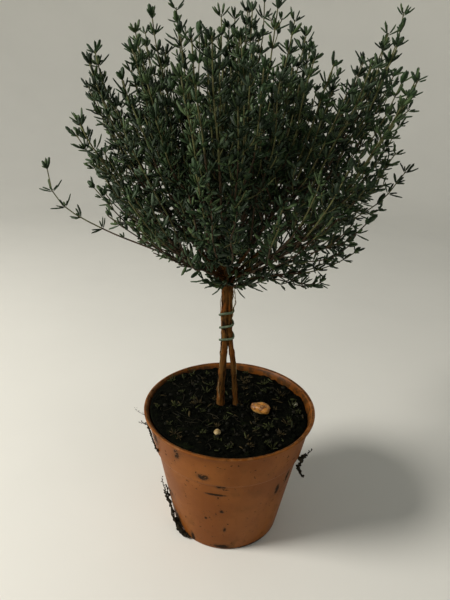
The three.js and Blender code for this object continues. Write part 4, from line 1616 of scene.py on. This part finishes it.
# rosettes of fine leaves, each leaf a golden turn on from the last; the strewn ones are smaller
# than those with places of their own
def makeRosettes():
    i, x, y = strewn(litter["stars"], 91, 45)
    ownX, ownY = np.array(starPlaces, float).T
    x, y = np.concatenate([x, ownX]), np.concatenate([y, ownY])
    i = np.arange(len(x))[:, None]
    k = np.arange(litter["starLeaves"])[None, :]
    turn = k * goldenTurn + anyTurn(92, i)
    outward = pointsOf(np.cos(turn), np.sin(turn), 0 * turn)
    big = np.where(i < litter["stars"], 0.6, 1.0)
    length = litter["starLength"] * big * between(0.5, 1.15, chance(93, i, k))
    splay = np.radians(between(35, 84, chance(94, i, k)))
    root = pointsOf(x, y, compostTop(x, y) + 0.3)[:, None] + 0.25 * outward
    width = 0.6 * between(0.7, 1.1, chance(95, i, k))
    parts = root, 0 * outward + upwards, outward, splay, length, width, 0.35 * sway(96, i, k)
    args = [part.reshape(-1, *part.shape[2:]) for part in parts]
    points, faces = blades(*args, **bladeShapes[1])
    slots = perSolid(np.repeat(chance(97, i[:, 0]) > 0.5, litter["starLeaves"]), faces)
    place(makePiece("moss_and_seedlings", points, faces, litterFinishes, slots), "compost")


# each strand goes from one end to the other close to the wall, crooked and lumpy, kept out of the
# wall and off the floor, with crumbs on it
def makeStrands():
    t = np.linspace(0, 1, 40)
    paths = []
    for i, (start, end, thick, astray) in enumerate(strands):
        turn, z, off = (between(one, other, t) for one, other in zip(start, end))
        angle = np.radians(turn)
        out = outsideAt(z) + off
        path = pointsOf(out * np.cos(angle), out * np.sin(angle), z)
        path = path + astray * drift(path, 5, 120 + i) * np.minimum(1, 6 * t)[:, None]
        path[:, 2] = np.maximum(path[:, 2], thick)
        least = outsideAt(path[:, 2]) + 0.8 * thick
        out = np.hypot(path[:, 0], path[:, 1])
        path[:, :2] *= (np.maximum(out, least) / out)[:, None]
        paths.append(path)
    paths = np.array(paths)
    thick = np.array([strand[2] for strand in strands])[:, None]
    radius = thick * (1 - 0.6 * t) * (1 + 0.3 * np.sin(40 * t) * np.sin(17 * t + thick))
    roots, rootFaces, _ = tubes(paths, radius, upwards, 7)
    bearing = paths[:, ::2]
    i = np.arange(bearing.shape[0] * bearing.shape[1])
    strewnOff = pointsOf(sway(131, i), sway(132, i), np.abs(sway(133, i)))
    centres = bearing.reshape(-1, 3) + 0.8 * strewnOff
    sizes = np.repeat(thick[:, 0], bearing.shape[1]) * between(0.3, 1.3, chance(134, i))
    sizes = sizes[:, None] * np.ones(3)
    soil = balls(centres, sizes, anyTurn(135, i), 4, 7, 136, 0.4)
    points, faces = joined([(roots, rootFaces), soil])
    finish = driftFinish("clingingRoot", tone(44, 37, 22), tone(20, 18, 11), 2, 0.85, 0.3)
    place(makePiece("clinging_roots", points, faces, [finish]), "compost")


makeFallenLeaves()
makeRosettes()
makeStrands()
print("litter and clinging roots made")

stage = {
    "flat": 900,  # the floor is a wide shallow bowl, so no edge of it shows behind the plant
    "bend": 700,
    "slope": 75,
    "top": 1500,
    "sides": 96,
    "floor": tone(233, 232, 225),
    "floorTwo": tone(225, 224, 217),
    "sky": tone(206, 208, 206),
    "skyStrength": 0.315,
}
lamps = {
    "key": {
        "at": (-900, -260, 760),
        "aim": (0, 0, 110),
        "across": 420,
        "watts": 14.8,
        "colour": (1.0, 0.96, 0.9),
    },
    "fill": {
        "at": (900, -900, 700),
        "aim": (0, 0, 120),
        "across": 900,
        "watts": 1.2,
        "colour": (0.9, 0.95, 1.0),
    },
}
camera = {"at": (-5, -273, 266), "pitch": -22.4, "roll": 1.92, "focal": 519, "frameHeight": 600}


# the floor goes out level, bends up along an arc and then straight on
def bowl():
    turn = np.radians(np.linspace(0, stage["slope"], 24))
    bend = stage["bend"]
    arc = np.stack([stage["flat"] + bend * np.sin(turn), bend * (1 - np.cos(turn))], -1)
    steep = math.tan(math.radians(90 - stage["slope"]))
    out = arc[-1, 0] + (stage["top"] - arc[-1, 1]) * steep
    profile = np.concatenate([[[60, 0], [400, 0]], arc, [[out, stage["top"]]]])
    rings = turned(profile, stage["sides"]).reshape(-1, 3)
    points = np.concatenate([rings, [[0, 0, 0]]])
    here = np.arange(stage["sides"])
    middle = np.stack([here * 0 + len(rings), here, (here + 1) % stage["sides"]], -1)
    return points, [gridFaces(len(profile), stage["sides"]), middle]


# the floor drifts between two pale tones, and the sky is one even light
def makeStage():
    finish = Finish("paleFloor", Roughness=0.7)
    cloud = finish.blotches(finish.spot(), 120)
    finish.feed({"Base Color": finish.blend(stage["floor"], stage["floorTwo"], cloud)})
    floor = makePiece("floor", *bowl(), [finish.material])
    floor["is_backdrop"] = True
    world = bpy.data.worlds.new("studio")
    world.use_nodes = True
    background = world.node_tree.nodes["Background"]
    background.inputs["Color"].default_value = stage["sky"]
    background.inputs["Strength"].default_value = stage["skyStrength"]
    bpy.context.scene.world = world
    bpy.context.scene.view_settings.view_transform = "Standard"


# a place in mm, as a matrix
def movedTo(at):
    return Matrix.Translation([value * mm for value in at])


# the turn that makes -Z look from one place to another with +Y up
def lookFrom(at, aim):
    back = unit(np.array(at, float) - np.array(aim, float))
    right = unit(np.cross(upwards, back))
    turn = Matrix(np.column_stack([right, np.cross(back, right), back]).tolist())
    return movedTo(at) @ turn.to_4x4()


# round lamps, each aimed at the plant
def makeLights():
    for name, lamp in lamps.items():
        light = bpy.data.lights.new(name, "AREA")
        light.shape = "DISK"
        light.size = lamp["across"] * mm
        light.energy = lamp["watts"]
        light.color = lamp["colour"]
        holder = bpy.data.objects.new(name, light)
        holder.matrix_world = lookFrom(lamp["at"], lamp["aim"])
        bpy.context.scene.collection.objects.link(holder)


# the camera in front of the plant and above it, tipped down and rolled a little; its lens is told
# by the focal length over the height of the frame
def makeCamera():
    view = bpy.data.cameras.new("camera")
    view.sensor_width = 36
    view.lens = 36 * camera["focal"] / camera["frameHeight"]
    view.clip_start = 0.01
    holder = bpy.data.objects.new("camera", view)
    lean = Matrix.Rotation(math.radians(90 + camera["pitch"]), 4, "X")
    roll = Matrix.Rotation(math.radians(camera["roll"]), 4, "Z")
    holder.matrix_world = movedTo(camera["at"]) @ lean @ roll
    bpy.context.scene.collection.objects.link(holder)
    bpy.context.scene.camera = holder


makeStage()
makeLights()
makeCamera()

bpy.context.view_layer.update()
meshes = [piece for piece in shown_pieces() if piece.type == "MESH"]
triangles = [sum(len(face.vertices) - 2 for face in piece.data.polygons) for piece in meshes]
print("triangles:", sum(triangles), "most in one piece:", max(triangles))
